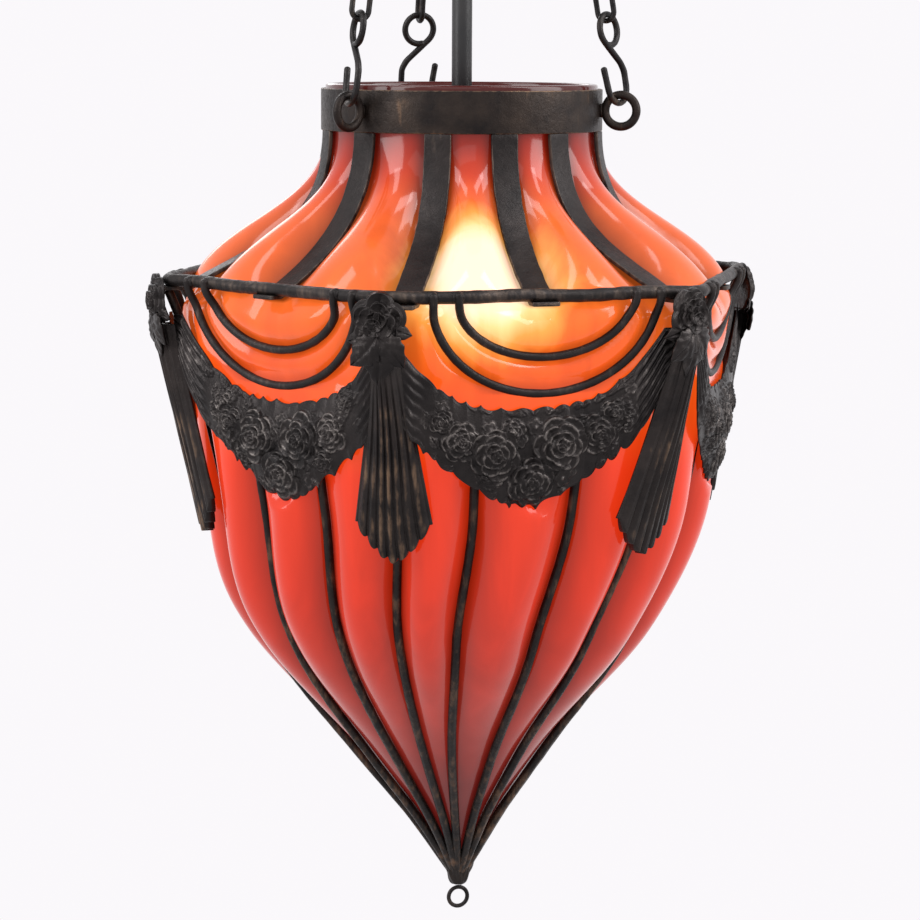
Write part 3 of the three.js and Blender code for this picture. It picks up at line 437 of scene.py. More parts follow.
rib_wire, rib_start_z, rib_end_z = 4.4, -127.0, -386.0
rib_start_radius, rib_tip_radius, rib_lean = 126.5, 4, math.radians(6.5)
garland_top, garland_foot = -134.5, -182.0
tassel_azimuths = (-31.2, 28.0, 90, 150, 210, 270)
tassel_top, tassel_length = -102.3, 102.7


def stray(azimuth, knots, at_top, at_foot, t):
    """Azimuth with the strays of the two nearest forged pieces blended in, from top (t 0) to foot (t 1)."""
    top = np.interp(azimuth, knots, at_top, period=360)
    foot = np.interp(azimuth, knots, at_foot, period=360)
    return azimuth + top * (1 - t) + foot * t


def from_side(azimuth):
    """Degrees from the middle of the nearest side of the hexagon, -30 to 30."""
    return (np.asarray(azimuth, float) + 30) % 60 - 30


def corner_share(azimuth):
    """0 in the middle of a side and 1 at a corner, growing as a hexagon's radius does."""
    return (1 / np.cos(np.radians(from_side(azimuth))) - 1) / (1 / math.cos(math.pi / 6) - 1)


def smooth(x, low, high):
    """Smooth step from 0 at low to 1 at high: 3u^2 - 2u^3."""
    u = np.clip((x - low) / (high - low), 0, 1)
    return u * u * (3 - 2 * u)


def cubic(t, *ends):
    """Cubic Bezier curve through its first and last control points, and its unit tangent."""
    a, b, c, d = [np.stack(np.broadcast_arrays(*e), -1)[None] for e in ends]
    t = t[:, None, None]
    point = (1 - t) ** 3 * a + 3 * t * (1 - t) ** 2 * b + 3 * t * t * (1 - t) * c + t ** 3 * d
    along = (1 - t) ** 2 * (b - a) + 2 * t * (1 - t) * (c - b) + t * t * (d - c)
    return point, along / np.linalg.norm(along, axis=2)[..., None]


def strap_line(t, share):
    """Middle line of the straps as (radius, height): straight down from the band, then flaring out to the
    rail at 26.6 degrees. Towards the hexagon's corners (share 1) the whole line rises a little."""
    lift = (rail_corner - rail_apothem) * 0.3 * np.asarray(share, float)
    slope = math.radians(26.6)
    reach, foot = rail_apothem - rail_wire / 2, strap_foot_z + lift
    bend = (reach - strap_run * math.cos(slope), foot + strap_run * math.sin(slope))
    return cubic(t, (strap_radius, -10.5 + 0 * lift), (strap_radius, -44.5 - lift), bend, (reach, foot))


def rib_line(t):
    """Middle line of the ribs as (radius, height): a long S from the belt to the tip."""
    tip, upper, lower = math.radians(36.9), 132, 135
    return cubic(t, (rib_start_radius, rib_start_z),
                 (rib_start_radius - upper * math.sin(rib_lean), rib_start_z - upper * math.cos(rib_lean)),
                 (rib_tip_radius + lower * math.sin(tip), rib_end_z + lower * math.cos(tip)),
                 (rib_tip_radius, rib_end_z))


def belt_line(height):
    """Radius of the cage between the rail and the belt: the ribs' straight start, leaning out upwards."""
    return rib_start_radius + (height - rib_start_z) * math.tan(rib_lean)


def corner_swell(share, height):
    """What the hexagon's corners add to the radius of the cage: 17.5 * share * e^(-drop / 50 mm), with the
    drop counted from the straps' feet."""
    return 17.5 * share * np.exp((height - strap_foot_z) / 50)


def arc_plane(height):
    """Distance of the arcs' plane from the axis, square to a side: 4 mm less at the deeper arc's foot."""
    return rail_apothem - 4 * (rail_z - height) / arcs[0][1]


def garland_back(height):
    """Distance of a garland's back from the axis, square to a side: 3 mm less at its foot than its top."""
    return 127.29 - 3 * (garland_top - height) / (garland_top - garland_foot)


def garland_edges(along):
    """Heights of a garland's upper and lower edges in the CAD at a distance along its side. The upper one
    rises as the power 2.8 of that distance, and the lower one as the powers 1.3 and 6."""
    share = np.clip(np.abs(along) / 63.55, 0, 1)
    return garland_top + 37 * share ** 2.8, garland_foot + 40 * share ** 1.3 + 38 * share ** 6


def off_wires(along, height):
    """0 on the rail and the two arcs of a side and 1 well away from them: the product over the wires of
    1 - exp(-(distance / 5 mm)^2), with the distance to an ellipse taken as its value over its slope."""
    drop = rail_z - height
    clear = 1 - np.exp(-(drop / 5) ** 2)
    for half, depth in arcs:
        value = np.sqrt((along / half) ** 2 + (drop / depth) ** 2) + 1e-6
        slope = np.sqrt((along / half ** 2) ** 2 + (drop / depth ** 2) ** 2) / value
        clear = clear * (1 - np.exp(-((value - 1) / slope / 5) ** 2))
    return clear


def sway(height):
    """How far the lower body stands off the axis to the left, seen from the front, as the bubble sagged a
    little before it set: 5.2 mm times a smooth step below the garlands and another towards the tip."""
    away = 5.2 * smooth(-height, 184, 250) * (1 - smooth(-height, 290, 400))
    return away[..., None] * np.array([-0.953, 0.302, 0.0])


def waist(height):
    """What the lower body is drawn in below its belly: 4.6 mm between two smooth steps."""
    return 4.6 * smooth(-height, 255, 318) * (1 - smooth(-height, 345, 398))


def glass_sheet(columns=396):
    """The whole bubble as one sheet from the inner tip up the inner wall, over the lip and down outside.
    Each lobe stands out by fullness * (1 - (2u - 1)^2), with u from 0 to 1 between two pinches. Behind a
    strap the pinch is flat over the strap's width. Below the rail the glass lies behind the arcs, bulges
    between them, and stays behind the garlands and tassels."""
    nominal = np.linspace(-180, 180, columns, endpoint=False)[None]
    half_strap, half_rib, last, rows_below_rail = 15.0, 10.0, 0.97, 125

    def shoulder(t, inset):
        """From the collar down to the rail: behind the straps' line, and between two straps out to the
        crest line by 1 - |2u - 1|^2.2. No point passes the rail."""
        azimuth = stray(nominal, strap_knots, strap_top, strap_foot, t[:, None])
        point, along = strap_line(t, corner_share(nominal[0]))
        pinch = point + (1 + 2 * weld_gap + inset) * np.stack([along[..., 1], -along[..., 0]], -1)
        if inset:
            reach = (rail_apothem - rail_wire / 2 - inset) / np.cos(np.radians(from_side(azimuth)))
            return np.minimum(pinch[..., 0], reach), azimuth, pinch[..., 1], 0 * azimuth
        crest, _ = cubic(t, (neck, -10.5), (neck + 0.2, -47.0), (117.0, -53.5), (131.5, rail_z))
        offset = np.abs((nominal + 15) % 30 - 15) / half_strap
        flat = 7.0 / (np.radians(half_strap) * np.maximum(pinch[..., 0], 60))
        lobe = 1 - np.clip(1 - (offset - flat) / (1 - flat), 0, 1) ** 2.2
        lobe = np.where(offset < flat, 0, lobe)
        place = pinch + (crest - pinch) * lobe[..., None]
        reach = (rail_apothem - rail_wire / 2 - weld_gap) / np.cos(np.radians(from_side(azimuth)))
        return np.minimum(place[..., 0], reach), azimuth, place[..., 1], lobe

    def belt_radius(azimuth, height, inset):
        """The lesser of two radii, behind the arcs' plane and behind the ribs, with their corner rounded
        as -6 * log(e^(-a / 6) + e^(-b / 6))."""
        flat = (arc_plane(height) - 2 - weld_gap) / np.cos(np.radians(from_side(azimuth)))
        rib = belt_line(height) + corner_swell(1.0, height) - rib_wire / 2 - 2 * weld_gap
        soft = -6 * np.log(np.exp(-flat / 6) + np.exp(-np.minimum(rib, 139.5) / 6)) + 1.0
        return np.minimum(np.minimum(flat, rib), soft) - inset

    def belly(t, inset):
        """From the belt down to the tip: behind the ribs' line, and square to it out by fullness * lobe
        between two ribs, but never past a garland's back."""
        azimuth = stray(nominal, rib_knots, rib_top, rib_foot, t[:, None])
        point, along = rib_line(t)
        fullness = 15.0 * np.exp(-((t[:, None] - 0.28) / 0.31) ** 2)
        slope = 3.9 * fullness / (np.radians(20) * point[..., 0])
        depth = (rib_wire / 2 + weld_gap) * np.hypot(1, slope) + inset
        radius = point[..., 0] + corner_swell(corner_share(azimuth), point[..., 1]) + along[..., 1] * depth
        radius = radius - waist(point[..., 1])
        height = point[..., 1] - along[..., 0] * depth
        if inset:
            return np.minimum(radius, belt_radius(azimuth, height, inset)), azimuth, height, 0 * azimuth
        lobe = 1 - (np.abs((nominal - 10) % 20 - 10) / half_rib) ** 2
        open_top = (1 - smooth(t[:, None], 0.03, 0.12)) * (1 - smooth(np.abs(from_side(azimuth)), 22, 27))
        lobe = lobe + (1 - lobe) * open_top
        radius = radius - fullness * lobe * along[..., 1]
        height = height + fullness * lobe * along[..., 0]
        side = from_side(azimuth)
        toward = np.cos(np.radians(side))
        low_edge = garland_edges(radius * np.sin(np.radians(side)))[1]
        behind = (garland_back(height) - 1.0) / toward + np.maximum(0, low_edge + 1 - height) * 1.3
        behind = np.where(np.abs(radius * np.sin(np.radians(side))) < 66, behind, np.inf)
        return np.minimum(radius, behind), azimuth, height, lobe

    def behind_tassel(radius, azimuth, height):
        """The radius kept to middle - lean_in * share - cup - gap behind a tassel, and let out again by
        1.2 times the way beside it and 1.5 times the way below it."""
        middle, lean_in, cup, gap, foot = 152.9, 23, 4.6, 0.8, -204
        limit = radius
        share = np.clip((tassel_top - height) / tassel_length, 0, 1)
        for turn in tassel_azimuths:
            off = np.radians((azimuth - turn + 180) % 360 - 180)
            across = np.abs(radius * np.sin(off)) - (7 + 11 * share ** 0.8) - 1.5
            room = (middle - lean_in * share - cup - gap) / np.cos(off) + np.maximum(0, across) * 1.2
            room = room + np.maximum(0, foot - height) * 1.5
            limit = np.where(np.abs(off) < 0.5, np.minimum(limit, room), limit)
        return limit

    inner = [belly(np.linspace(0.88, 0, 22), glass_wall), shoulder(np.linspace(1, 0, 15)[1:-1], glass_wall)]
    polish, wide, tall = np.radians(np.linspace(0, 90, 5)), 1.3, 1.4
    bore, rim = neck - glass_wall, lip_z - tall
    top = [(bore, -10.2), (bore, rim)]
    top += [(bore + wide - wide * math.cos(a), rim + tall * math.sin(a)) for a in polish[1:]]
    top += [(neck - wide + wide * math.sin(a), rim + tall * math.cos(a)) for a in polish]
    top += [(neck, z) for z in (6.0, 0.0, -6.0, -9.5)]
    lip = [tuple(np.broadcast_to(v, nominal.shape) for v in (r, nominal, z, 0.2)) for r, z in top]
    outside, low = shoulder(np.linspace(0, 1, 63), 0), belly(np.linspace(0, last, 92), 0)
    k = np.linspace(0, 1, 28)[1:-1, None]
    azimuth = stray(nominal, strap_knots, strap_top, strap_foot, 1.0)
    azimuth = azimuth + (low[1][:1] - azimuth) * smooth(k, 0, 1)
    height = outside[2][-1:] + (low[2][:1] - outside[2][-1:]) * k
    side = from_side(azimuth)
    along = arc_plane(height) * np.tan(np.radians(side))
    clear = off_wires(along, height) * (1 - smooth(np.abs(along), 52, 68))
    radius = belt_radius(azimuth, height, 0) + 5.5 * clear * (1 - smooth(k, 0.75, 1))
    radius = outside[0][-1:] + (radius - outside[0][-1:]) * smooth(k, 0, 0.3)
    radius = radius + (low[0][:1] - radius) * smooth(k, 0.7, 1)
    # The crest of each block sets the glass's painted shade: low in the pinches, on the inner wall and the
    # lip, and next to the rail and arcs.
    belt = (radius, azimuth, height, 0.35 + 0.65 * clear)
    blocks = [*inner, *lip, outside, belt, low]
    blocks = [tuple(np.broadcast_to(v, (b[2].shape[0], columns)) for v in b) for b in blocks]
    radius, azimuth, height, crest = [np.concatenate([b[i] for b in blocks]) for i in range(4)]
    below_rail = np.arange(len(radius))[:, None] > len(radius) - rows_below_rail
    radius = np.where(below_rail, behind_tassel(radius, azimuth, height), radius)
    sheet = polar(radius, azimuth, height) + sway(height)
    pole_in = np.zeros((1, columns, 3)) + [0, 0, rib_line(np.array([last]))[0][0, 0, 1] + 8]
    pole_out = np.zeros((1, columns, 3)) + [0, 0, rib_line(np.array([last + 0.02]))[0][0, 0, 1]]
    crest = np.concatenate([crest[:1], crest, crest[-1:]])
    return np.concatenate([pole_in, sheet, pole_out]) + [0, 0, collar_z], True, False, crest


# The glow is painted into the glass: it goes by height from the dark foot to the shoulder, with a painted hot
# spot in front of the bulb.
# Painted shade in the pinches and the drawn streaks darken it, and a clear coat with slow waves and seeds
# lies over it.
opal, tree, shader = material("cased_opal_glass")
place = node(tree, "TexCoord").outputs["Object"]
crest = node(tree, "Attribute", attribute_name="crest").outputs["Fac"]
rise = between(tree, node(tree, "SeparateXYZ", {0: place}).outputs["Z"], -0.53, -0.13)
streak, cloud = streaks(tree, 70.0, 7.0, 4.0, 0.6), noise(tree, 17.0, 3.0)
level = maths(tree, "ADD", rise, maths(tree, "MULTIPLY_ADD", cloud, 0.07, -0.035))
lamp_colour = ramp(tree, level, [(0.0, (0.03, 0.003, 0.003)), (0.14, (0.12, 0.008, 0.006)),
                                 (0.27, (0.38, 0.024, 0.012)), (0.4, (0.62, 0.026, 0.006)),
                                 (0.55, (0.78, 0.034, 0.004)), (0.66, (0.92, 0.1, 0.008)),
                                 (0.76, (0.95, 0.17, 0.02)), (0.85, (0.8, 0.14, 0.026)),
                                 (0.895, (0.53, 0.04, 0.007)), (0.92, (0.33, 0.017, 0.005)),
                                 (0.94, (0.17, 0.008, 0.004)), (0.96, (0.08, 0.006, 0.004)),
                                 (1.0, (0.1, 0.008, 0.006))])
hot_spot = (-0.027, -0.121, -0.21)
from_spot = node(tree, "VectorMath", {0: place, 1: hot_spot}, operation="DISTANCE").outputs["Value"]
reach = maths(tree, "ADD", from_spot, maths(tree, "MULTIPLY_ADD", streak, -0.014, 0.007))
near = between(tree, reach, 0.065, 0.018, interpolation_type="SMOOTHSTEP")
hot = ramp(tree, near, [(0.0, (0.0, 0.0, 0.0)), (0.25, (0.15, 0.04, 0.003)), (0.55, (0.52, 0.3, 0.06)),
                        (0.8, (0.8, 0.71, 0.32)), (1.0, (0.95, 0.98, 0.76))])
shadow = ramp(tree, crest, [(0.0, 0.28), (0.4, 0.6), (0.8, 0.92), (1.0, 1.04)])
shaded = blend_colours(tree, 1.0, lamp_colour, shadow, "MULTIPLY")
veined = blend_colours(tree, 1.0, shaded, ramp(tree, streak, [(0.3, 0.86), (0.7, 1.07)]), "MULTIPLY")
hot = blend_colours(tree, 1.0, hot, ramp(tree, crest, [(0.0, 0.5), (0.4, 0.85), (0.8, 1.0)]), "MULTIPLY")
glow = blend_colours(tree, 1.0, veined, hot, "ADD")
skin_colour = ramp(tree, level, [(0.0, (0.04, 0.007, 0.006)), (0.3, (0.14, 0.013, 0.009)),
                                 (0.6, (0.2, 0.018, 0.008)), (0.88, (0.15, 0.013, 0.007)),
                                 (0.95, (0.06, 0.008, 0.007)), (1.0, (0.07, 0.01, 0.008))])
seeds = node(tree, "TexVoronoi", {"Vector": place, "Scale": 95.0}).outputs["Distance"]
seeds = ramp(tree, seeds, [(0.0, 1.0), (0.05, 0.0)])
ripple = maths(tree, "MULTIPLY_ADD", streak, 0.35, noise(tree, 55.0, 1.0))
waves = bumps(tree, 0.1, 0.002, maths(tree, "MULTIPLY_ADD", seeds, 0.3, ripple))
set_shader(tree, shader, Metallic=0.0, Base_Color=blend_colours(tree, 1.0, skin_colour, shadow, "MULTIPLY"),
           Roughness=ramp(tree, cloud, [(0.3, 0.3), (0.7, 0.42)]), Emission_Color=glow, Emission_Strength=1.0,
           Specular_IOR_Level=0.05, Coat_Weight=1.0, Coat_Roughness=0.1, Coat_IOR=1.36, Coat_Normal=waves,
           Normal=waves)
make_piece("blown_glass_shade", [glass_sheet()], opal, "lamp_shade", ["glass_shade"])

# Collar: a band bent from 2 mm strip and welded into a ring round the neck, bronzed over the black,
# with three wire eyes welded to its outside for the chain hooks.
bronzed = iron_material("bronzed_iron", (0.011, 0.009, 0.009), (0.036, 0.026, 0.021), (0.13, 0.078, 0.048),
                        0.55, 0.42)
profile = rounded_band(collar_radius - collar_wall, collar_radius, -band_half, band_half, 0.6)
azimuth = np.linspace(0, 360, 360, endpoint=False)[None]
waves = wobble(360, 436, 24, 3, True)[None]
edge = 1 + 0.012 * wobble(360, 436, 15, 4, True)[None]
band = polar(profile[:, :1] + 0.12 * waves, azimuth, profile[:, 1:] * edge) + [0, 0, collar_z]
rubbed = np.broadcast_to(0.35 + 0.5 * (np.abs(profile[:, 1:]) > 9.7), (len(profile), 360))
make_piece("forged_collar", [(band, True, True, rubbed)], bronzed, "lamp_shade",
           ["collar_band"])


def bead(centre, sizes, seed):
    """Weld bead: an ellipsoid about the centre whose radius is lumpy by cosines of both angles."""
    chance = np.random.default_rng(seed)
    tall = np.radians(np.linspace(-90, 90, 13))[:, None]
    turn = np.radians(np.linspace(0, 360, 22, endpoint=False))[None]
    lumps = (1 + 0.12 * np.cos(3 * turn + chance.uniform(0, 6)) * np.cos(tall)
             + 0.08 * np.cos(5 * turn + 4 * tall + chance.uniform(0, 6)) * np.cos(tall))
    ball = np.stack([np.cos(tall) * np.cos(turn) * lumps, np.cos(tall) * np.sin(turn) * lumps,
                     np.sin(tall) + 0 * turn], -1)
    return np.asarray(centre) + ball * np.asarray(sizes), True, False, 0.4


circle = np.radians(np.linspace(0, 360, 64, endpoint=False))
for i, azimuth in enumerate(chain_azimuths):
    path = polar(eye_centre + eye_radius * np.cos(circle), azimuth, eye_radius * np.sin(circle) + collar_z)
    thick = eye_wire / 2 * (1 + 0.03 * wobble(64, 48, 9, 20 + i, True))
    eye = wire(path, thick, unit(azimuth + 90), 16, True)
    weld = bead(polar(collar_radius + 0.5, azimuth, collar_z), (1.7, 1.7, 3.4), 40 + i)
    make_piece(f"forged_eye_{i + 1}", [eye, weld], bronzed, "lamp_shade",
               [f"collar_eye_{i + 1}"])


# Straps: twelve flat bars of 13 x 2 mm, hammered, welded under the band and drawn down over the
# shoulder. Each foot passes under the rail and shows a little beyond it.
def bar(path, section, reference, crest, grow):
    """Flat bar: path + section[0] * across + section[1] * third, with across the part of the reference
    square to the path, times the growth at each point. The ends close on their middles over a slightly
    smaller last section."""
    ends = ((2, 2), (0, 0))
    along, across, third = square_to(np.pad(np.gradient(path, axis=0), ends, "edge"), reference)
    size, shift = np.ones((len(along), 1)), np.zeros((len(along), 1))
    size[[0, -1]], size[[1, -2]] = 0.0, 0.94
    shift[:2], shift[-2:] = -0.25, 0.25
    path = np.pad(path, ends, "edge") + along * shift
    flat = section[None] * (size * np.pad(grow, ends, "edge"))[..., None]
    sheet = path[:, None] + flat[..., :1] * across[:, None] + flat[..., 1:] * third[:, None]
    return sheet, True, False, crest


forged = iron_material("forged_iron", (0.011, 0.0095, 0.0095), (0.027, 0.022, 0.021), (0.09, 0.067, 0.054),
                       0.5, 0.44)
strap_section = rounded_band(-6.5, 6.5, -1, 1, 0.55)
for i in range(12):
    nominal = i * 30
    share = float(corner_share(nominal))
    t = np.linspace(0, 1, 46)
    line = strap_line(t, np.array([share]))[0][:, 0]
    path = polar(line[:, 0], stray(nominal, strap_knots, strap_top, strap_foot, t), line[:, 1])
    foot = float(stray(nominal, strap_knots, strap_top, strap_foot, 1.0))
    # The foot runs level under the rail, further at the corners.
    if share > 0.5:
        tail = polar(np.array([138.6, 143, 148, rail_corner + 2.5]), foot, strap_foot_z)
    else:
        tail = polar(np.array([129.5, 131.5, rail_apothem + 3.5]), foot, strap_foot_z)
    path = np.concatenate([path, tail]) + [0, 0, collar_z]
    grow = 1 + 0.022 * wobble(len(path), 105, 14, 60 + i)[:, None] + 0 * strap_section[None, :, 0]
    worn = 0.35 + 0.5 * (np.abs(strap_section[:, 0]) > 6.1)[None]
    sheet = bar(path, strap_section, unit(nominal + 90), worn, grow)
    make_piece(f"hammered_strap_{i + 1:02d}", [sheet], forged, "lamp_shade",
               [f"strap_{i + 1:02d}"])

# Rail: a hexagon bent from one rod, hammered and full of small notches, with two drooping arcs of
# thinner rod welded to each side, their ends bent forward onto its front. 5.9 mm thick over its scale.
def beside(azimuth, out, along, height):
    """Points at a distance out towards an azimuth, along the level line square to it, and at a height
    counted from the collar's middle."""
    out, along, height = np.broadcast_arrays(out, along, height)
    return (out[..., None] * unit(azimuth) + along[..., None] * unit(azimuth + 90)
            + (height + collar_z)[..., None] * np.array([0, 0, 1.0]))


rail_length, bend_reach = 900, 7
hexagon = []
for corner in range(6):
    azimuth = -30 + corner * 60
    point = polar(rail_corner, azimuth, rail_z)
    start, end = point - bend_reach * unit(azimuth + 60), point + bend_reach * unit(azimuth + 120)
    pull = 0.65 * point + 0.35 * (start + end) / 2
    t = np.linspace(0, 1, 9)[:, None]
    hexagon.append((1 - t) ** 2 * start + 2 * t * (1 - t) * pull + t * t * end)
    far = polar(rail_corner, azimuth + 60, rail_z) - bend_reach * unit(azimuth + 120)
    hexagon.append(end + (far - end) * np.linspace(0, 1, 92)[1:-1, None])
hexagon = np.concatenate(hexagon)
rail_skin, arc_radius = 2.95, 2.0
swells, notches, sags, twists, dents = [wobble(len(hexagon), rail_length, spacing, seed, True)[:, None]
                                        for spacing, seed in ((14, 7), (6, 8), (70, 9), (40, 10), (9, 11))]
knocks = 1 + 0.05 * swells + 0.09 * notches ** 3
line = hexagon + 0.5 * sags * [0, 0, 1] + [0, 0, collar_z]
rod = wire(line, rail_skin * knocks[:, 0], (0, 0, 1), 18, True)[0]
around = np.linspace(0, 2 * math.pi, 18, endpoint=False)[None]
flats = 1 + 0.07 * np.cos(4 * around + 2.5 * twists) * (0.6 + 0.4 * dents)
middle = rod.mean(1, keepdims=True)
rail_sheets = [(middle + (rod - middle) * flats[..., None], True, True, 0.62)]
for side in range(6):
    for k, (half, depth) in enumerate(arcs):
        turn = np.radians(np.linspace(180, 360, 60))
        along = np.concatenate([[-half] * 2, half * np.cos(turn), [half] * 2])
        height = np.concatenate([[1.0, 0.5], depth * np.sin(turn), [0.5, 1.0]]) + rail_z
        lean = 3.2 * smooth(height, rail_z - 12, rail_z - 2)
        path = beside(side * 60, arc_plane(height) + lean, along, height)
        thick = arc_radius * (1 + 0.045 * wobble(len(path), 180, 11, 100 + 2 * side + k))
        rail_sheets.append(wire(path, thick, unit(side * 60)))
        for end in (-half, half):
            place = beside(side * 60, rail_apothem + 1.4, end, rail_z)
            rail_sheets.append(bead(place, (3.1, 3.0, 3.1), 200 + 4 * side + 2 * k + (end > 0)))
make_piece("forged_hex_rail", rail_sheets, forged, "lamp_shade", ["hex_rail"])

# Ribs: eighteen round rods down to the tip, hand bent and unevenly spaced, run together in a rough
# welded cone. Those at the corners start under the rail, and the others behind the garlands.
rib_iron = iron_material("rib_iron", (0.011, 0.0095, 0.0095), (0.03, 0.023, 0.02), (0.15, 0.085, 0.052),
                         0.5, 0.42)
cage = []
for i in range(18):
    nominal = float((i + 0.5) * 20)
    t = np.linspace(0.02, 1, 90)
    line = rib_line(t)[0][:, 0]
    azimuth = stray(nominal, rib_knots, rib_top, rib_foot, t)
    radius = line[:, 0] + corner_swell(corner_share(azimuth), line[:, 1]) - waist(line[:, 1])
    path = polar(radius, azimuth, line[:, 1]) + sway(line[:, 1])
    top = float(stray(nominal, rib_knots, rib_top, rib_foot, 0.0))
    if corner_share(nominal) > 0.9:
        height = np.linspace(strap_foot_z - 1.9, rib_start_z, 14)
        head = polar(belt_line(height) + corner_swell(1.0, height), top, height)
    else:
        base = rib_start_radius + corner_swell(float(corner_share(top)), rib_start_z)
        offset = base * math.sin(math.radians(float(from_side(top))))
        start = float(garland_edges(offset)[0]) - 4.5
        if start > rib_start_z:
            head = polar(np.array([base + 0.3]), top, np.array([start]))
        else:
            path = path[path[:, 2] < start]
            head = path[:0]
    path = np.concatenate([head, path]) + [0, 0, collar_z]
    thick = rib_wire / 2 * (1 + 0.04 * wobble(len(path), 290, 16, 130 + i))
    cage.append(wire(path, thick, unit(nominal + 90), crest=0.62))
cone_top, cone_length = rib_end_z + 9, 17
share, turn = np.linspace(0, 1, 26)[:, None], np.radians(np.linspace(0, 360, 108, endpoint=False))[None]
lumps = (1 + 0.07 * np.cos(18 * turn) * (1 - share) + 0.06 * np.cos(3 * turn + 5 * share)
         + 0.05 * np.cos(7 * turn - 9 * share + 1))
radius = (9.2 - 5.6 * share) * lumps * np.sqrt(np.clip(1 - (2 * share - 1) ** 12, 0, 1))
cone = polar(radius, np.degrees(turn), cone_top - cone_length * share + collar_z)
cage.append((cone, True, False, 0.4))
make_piece("forged_rib_cage", cage, rib_iron, "lamp_shade", ["rib_cage"])

# Tip ring: a small ring of thin wire, welded under the cone.
tip_ring_radius, tip_ring_wire = 4.95, 1.05
tip_ring_z = cone_top - cone_length - weld_gap - tip_ring_wire - tip_ring_radius
path = beside(0, 0.0, tip_ring_radius * np.cos(circle), tip_ring_z + tip_ring_radius * np.sin(circle))
ring = wire(path, tip_ring_wire * (1 + 0.03 * wobble(64, 31, 6, 5, True)), (0, 1, 0), loop=True)
make_piece("tip_ring_wire", [ring], forged, "lamp_shade", ["tip_ring"])

# Garlands: one along each side, a swag of roses and leaves pressed out of sheet iron, domed and laid
# on the ribs below the arcs. The ends are pleated and rise to the corners. Chased by hand, so no two
# hang quite alike. The height at a point is a dome, plus the highest of the leaves, flowers and roses.
def rose_height(x, y, chance, rings=((0.66, 6, 0.42, 0.12), (0.46, 5, 0.37, 0.38), (0.27, 4, 0.29, 0.62),
                                     (0.1, 3, 0.21, 0.82))):
    """Height of an open rose of radius 1 at (x, y). Every petal is a round cup whose height is that of its
    ring + 0.46 * (distance / size)^2 out to its rim, and the inner rings stand over the outer ones."""
    height = 0 * x
    for ring, petals, size, base in rings:
        start = chance.uniform(0, 6)
        for k in range(petals):
            angle = start + k * 2 * math.pi / petals + chance.uniform(-0.22, 0.22)
            wide, ring_k = size * chance.uniform(0.88, 1.12), ring * chance.uniform(0.9, 1.08)
            u = x * math.cos(angle) + y * math.sin(angle) - ring_k
            v = -x * math.sin(angle) + y * math.cos(angle)
            far = np.hypot(u / (0.78 * wide), v / wide)
            cup = base + 0.46 * far ** 2 - 0.1 * np.exp(-(v / 0.05) ** 2) * (far < 0.8)
            height = height + np.maximum(0, cup - height) * (1 - smooth(far, 0.9, 1.02))
    return height


def flower_height(x, y, turn):
    """Height of a five-petalled flower of radius 1: petals cupped between their rims, and a round button."""
    radius, angle = np.hypot(x, y) + 1e-6, np.arctan2(y, x) + turn
    edge = 0.72 + 0.28 * np.abs(np.cos(2.5 * angle))
    inside = np.clip(1 - (radius / edge) ** 2, 0, 1)
    cup = 0.5 * inside ** 0.5 + 0.3 * np.exp(-((radius - 0.86 * edge) / 0.1) ** 2)
    return np.where(radius < edge, cup, 0) + 0.45 * np.exp(-(radius / 0.2) ** 2)


def leaf_height(x, y, turn):
    """Height of a pointed leaf of length 1 along +x turned by an angle: it falls off from a sunk midrib to
    edges that meet in a point, crossed by slanting veins."""
    u, v = x * np.cos(turn) + y * np.sin(turn), -x * np.sin(turn) + y * np.cos(turn)
    half = 0.36 * np.sin(np.pi * np.clip(u, 0, 1)) ** 0.8 * (1 - 0.35 * np.clip(u, 0, 1)) + 1e-4
    body = np.clip(1 - (v / half) ** 2, 0, 1) ** 0.5
    veins = 0.12 * np.cos(30 * (u - np.abs(v) * 0.8))
    groove = 0.4 * np.exp(-(v / 0.035) ** 2)
    return np.where((u > 0) & (u < 1), body * (0.65 + veins) - groove * body, 0)


def swag_top(along):
    """Height of the swag's upper edge: -133.5 in the middle, rising as the power 2.8 to -97.5 at its ends."""
    return -133.5 + 36 * np.clip(np.abs(along) / 66, 0, 1) ** 2.8


def swag_foot(along):
    """Height of the swag's lower edge: -182 in the middle, rising as the power 1.3 and faster at the ends."""
    ends = np.clip((np.abs(along) - 50) / 22, 0, 1.1)
    return -182.0 + 47 * (np.hypot(along, 5) / 70) ** 1.3 + 18 * ends ** 2


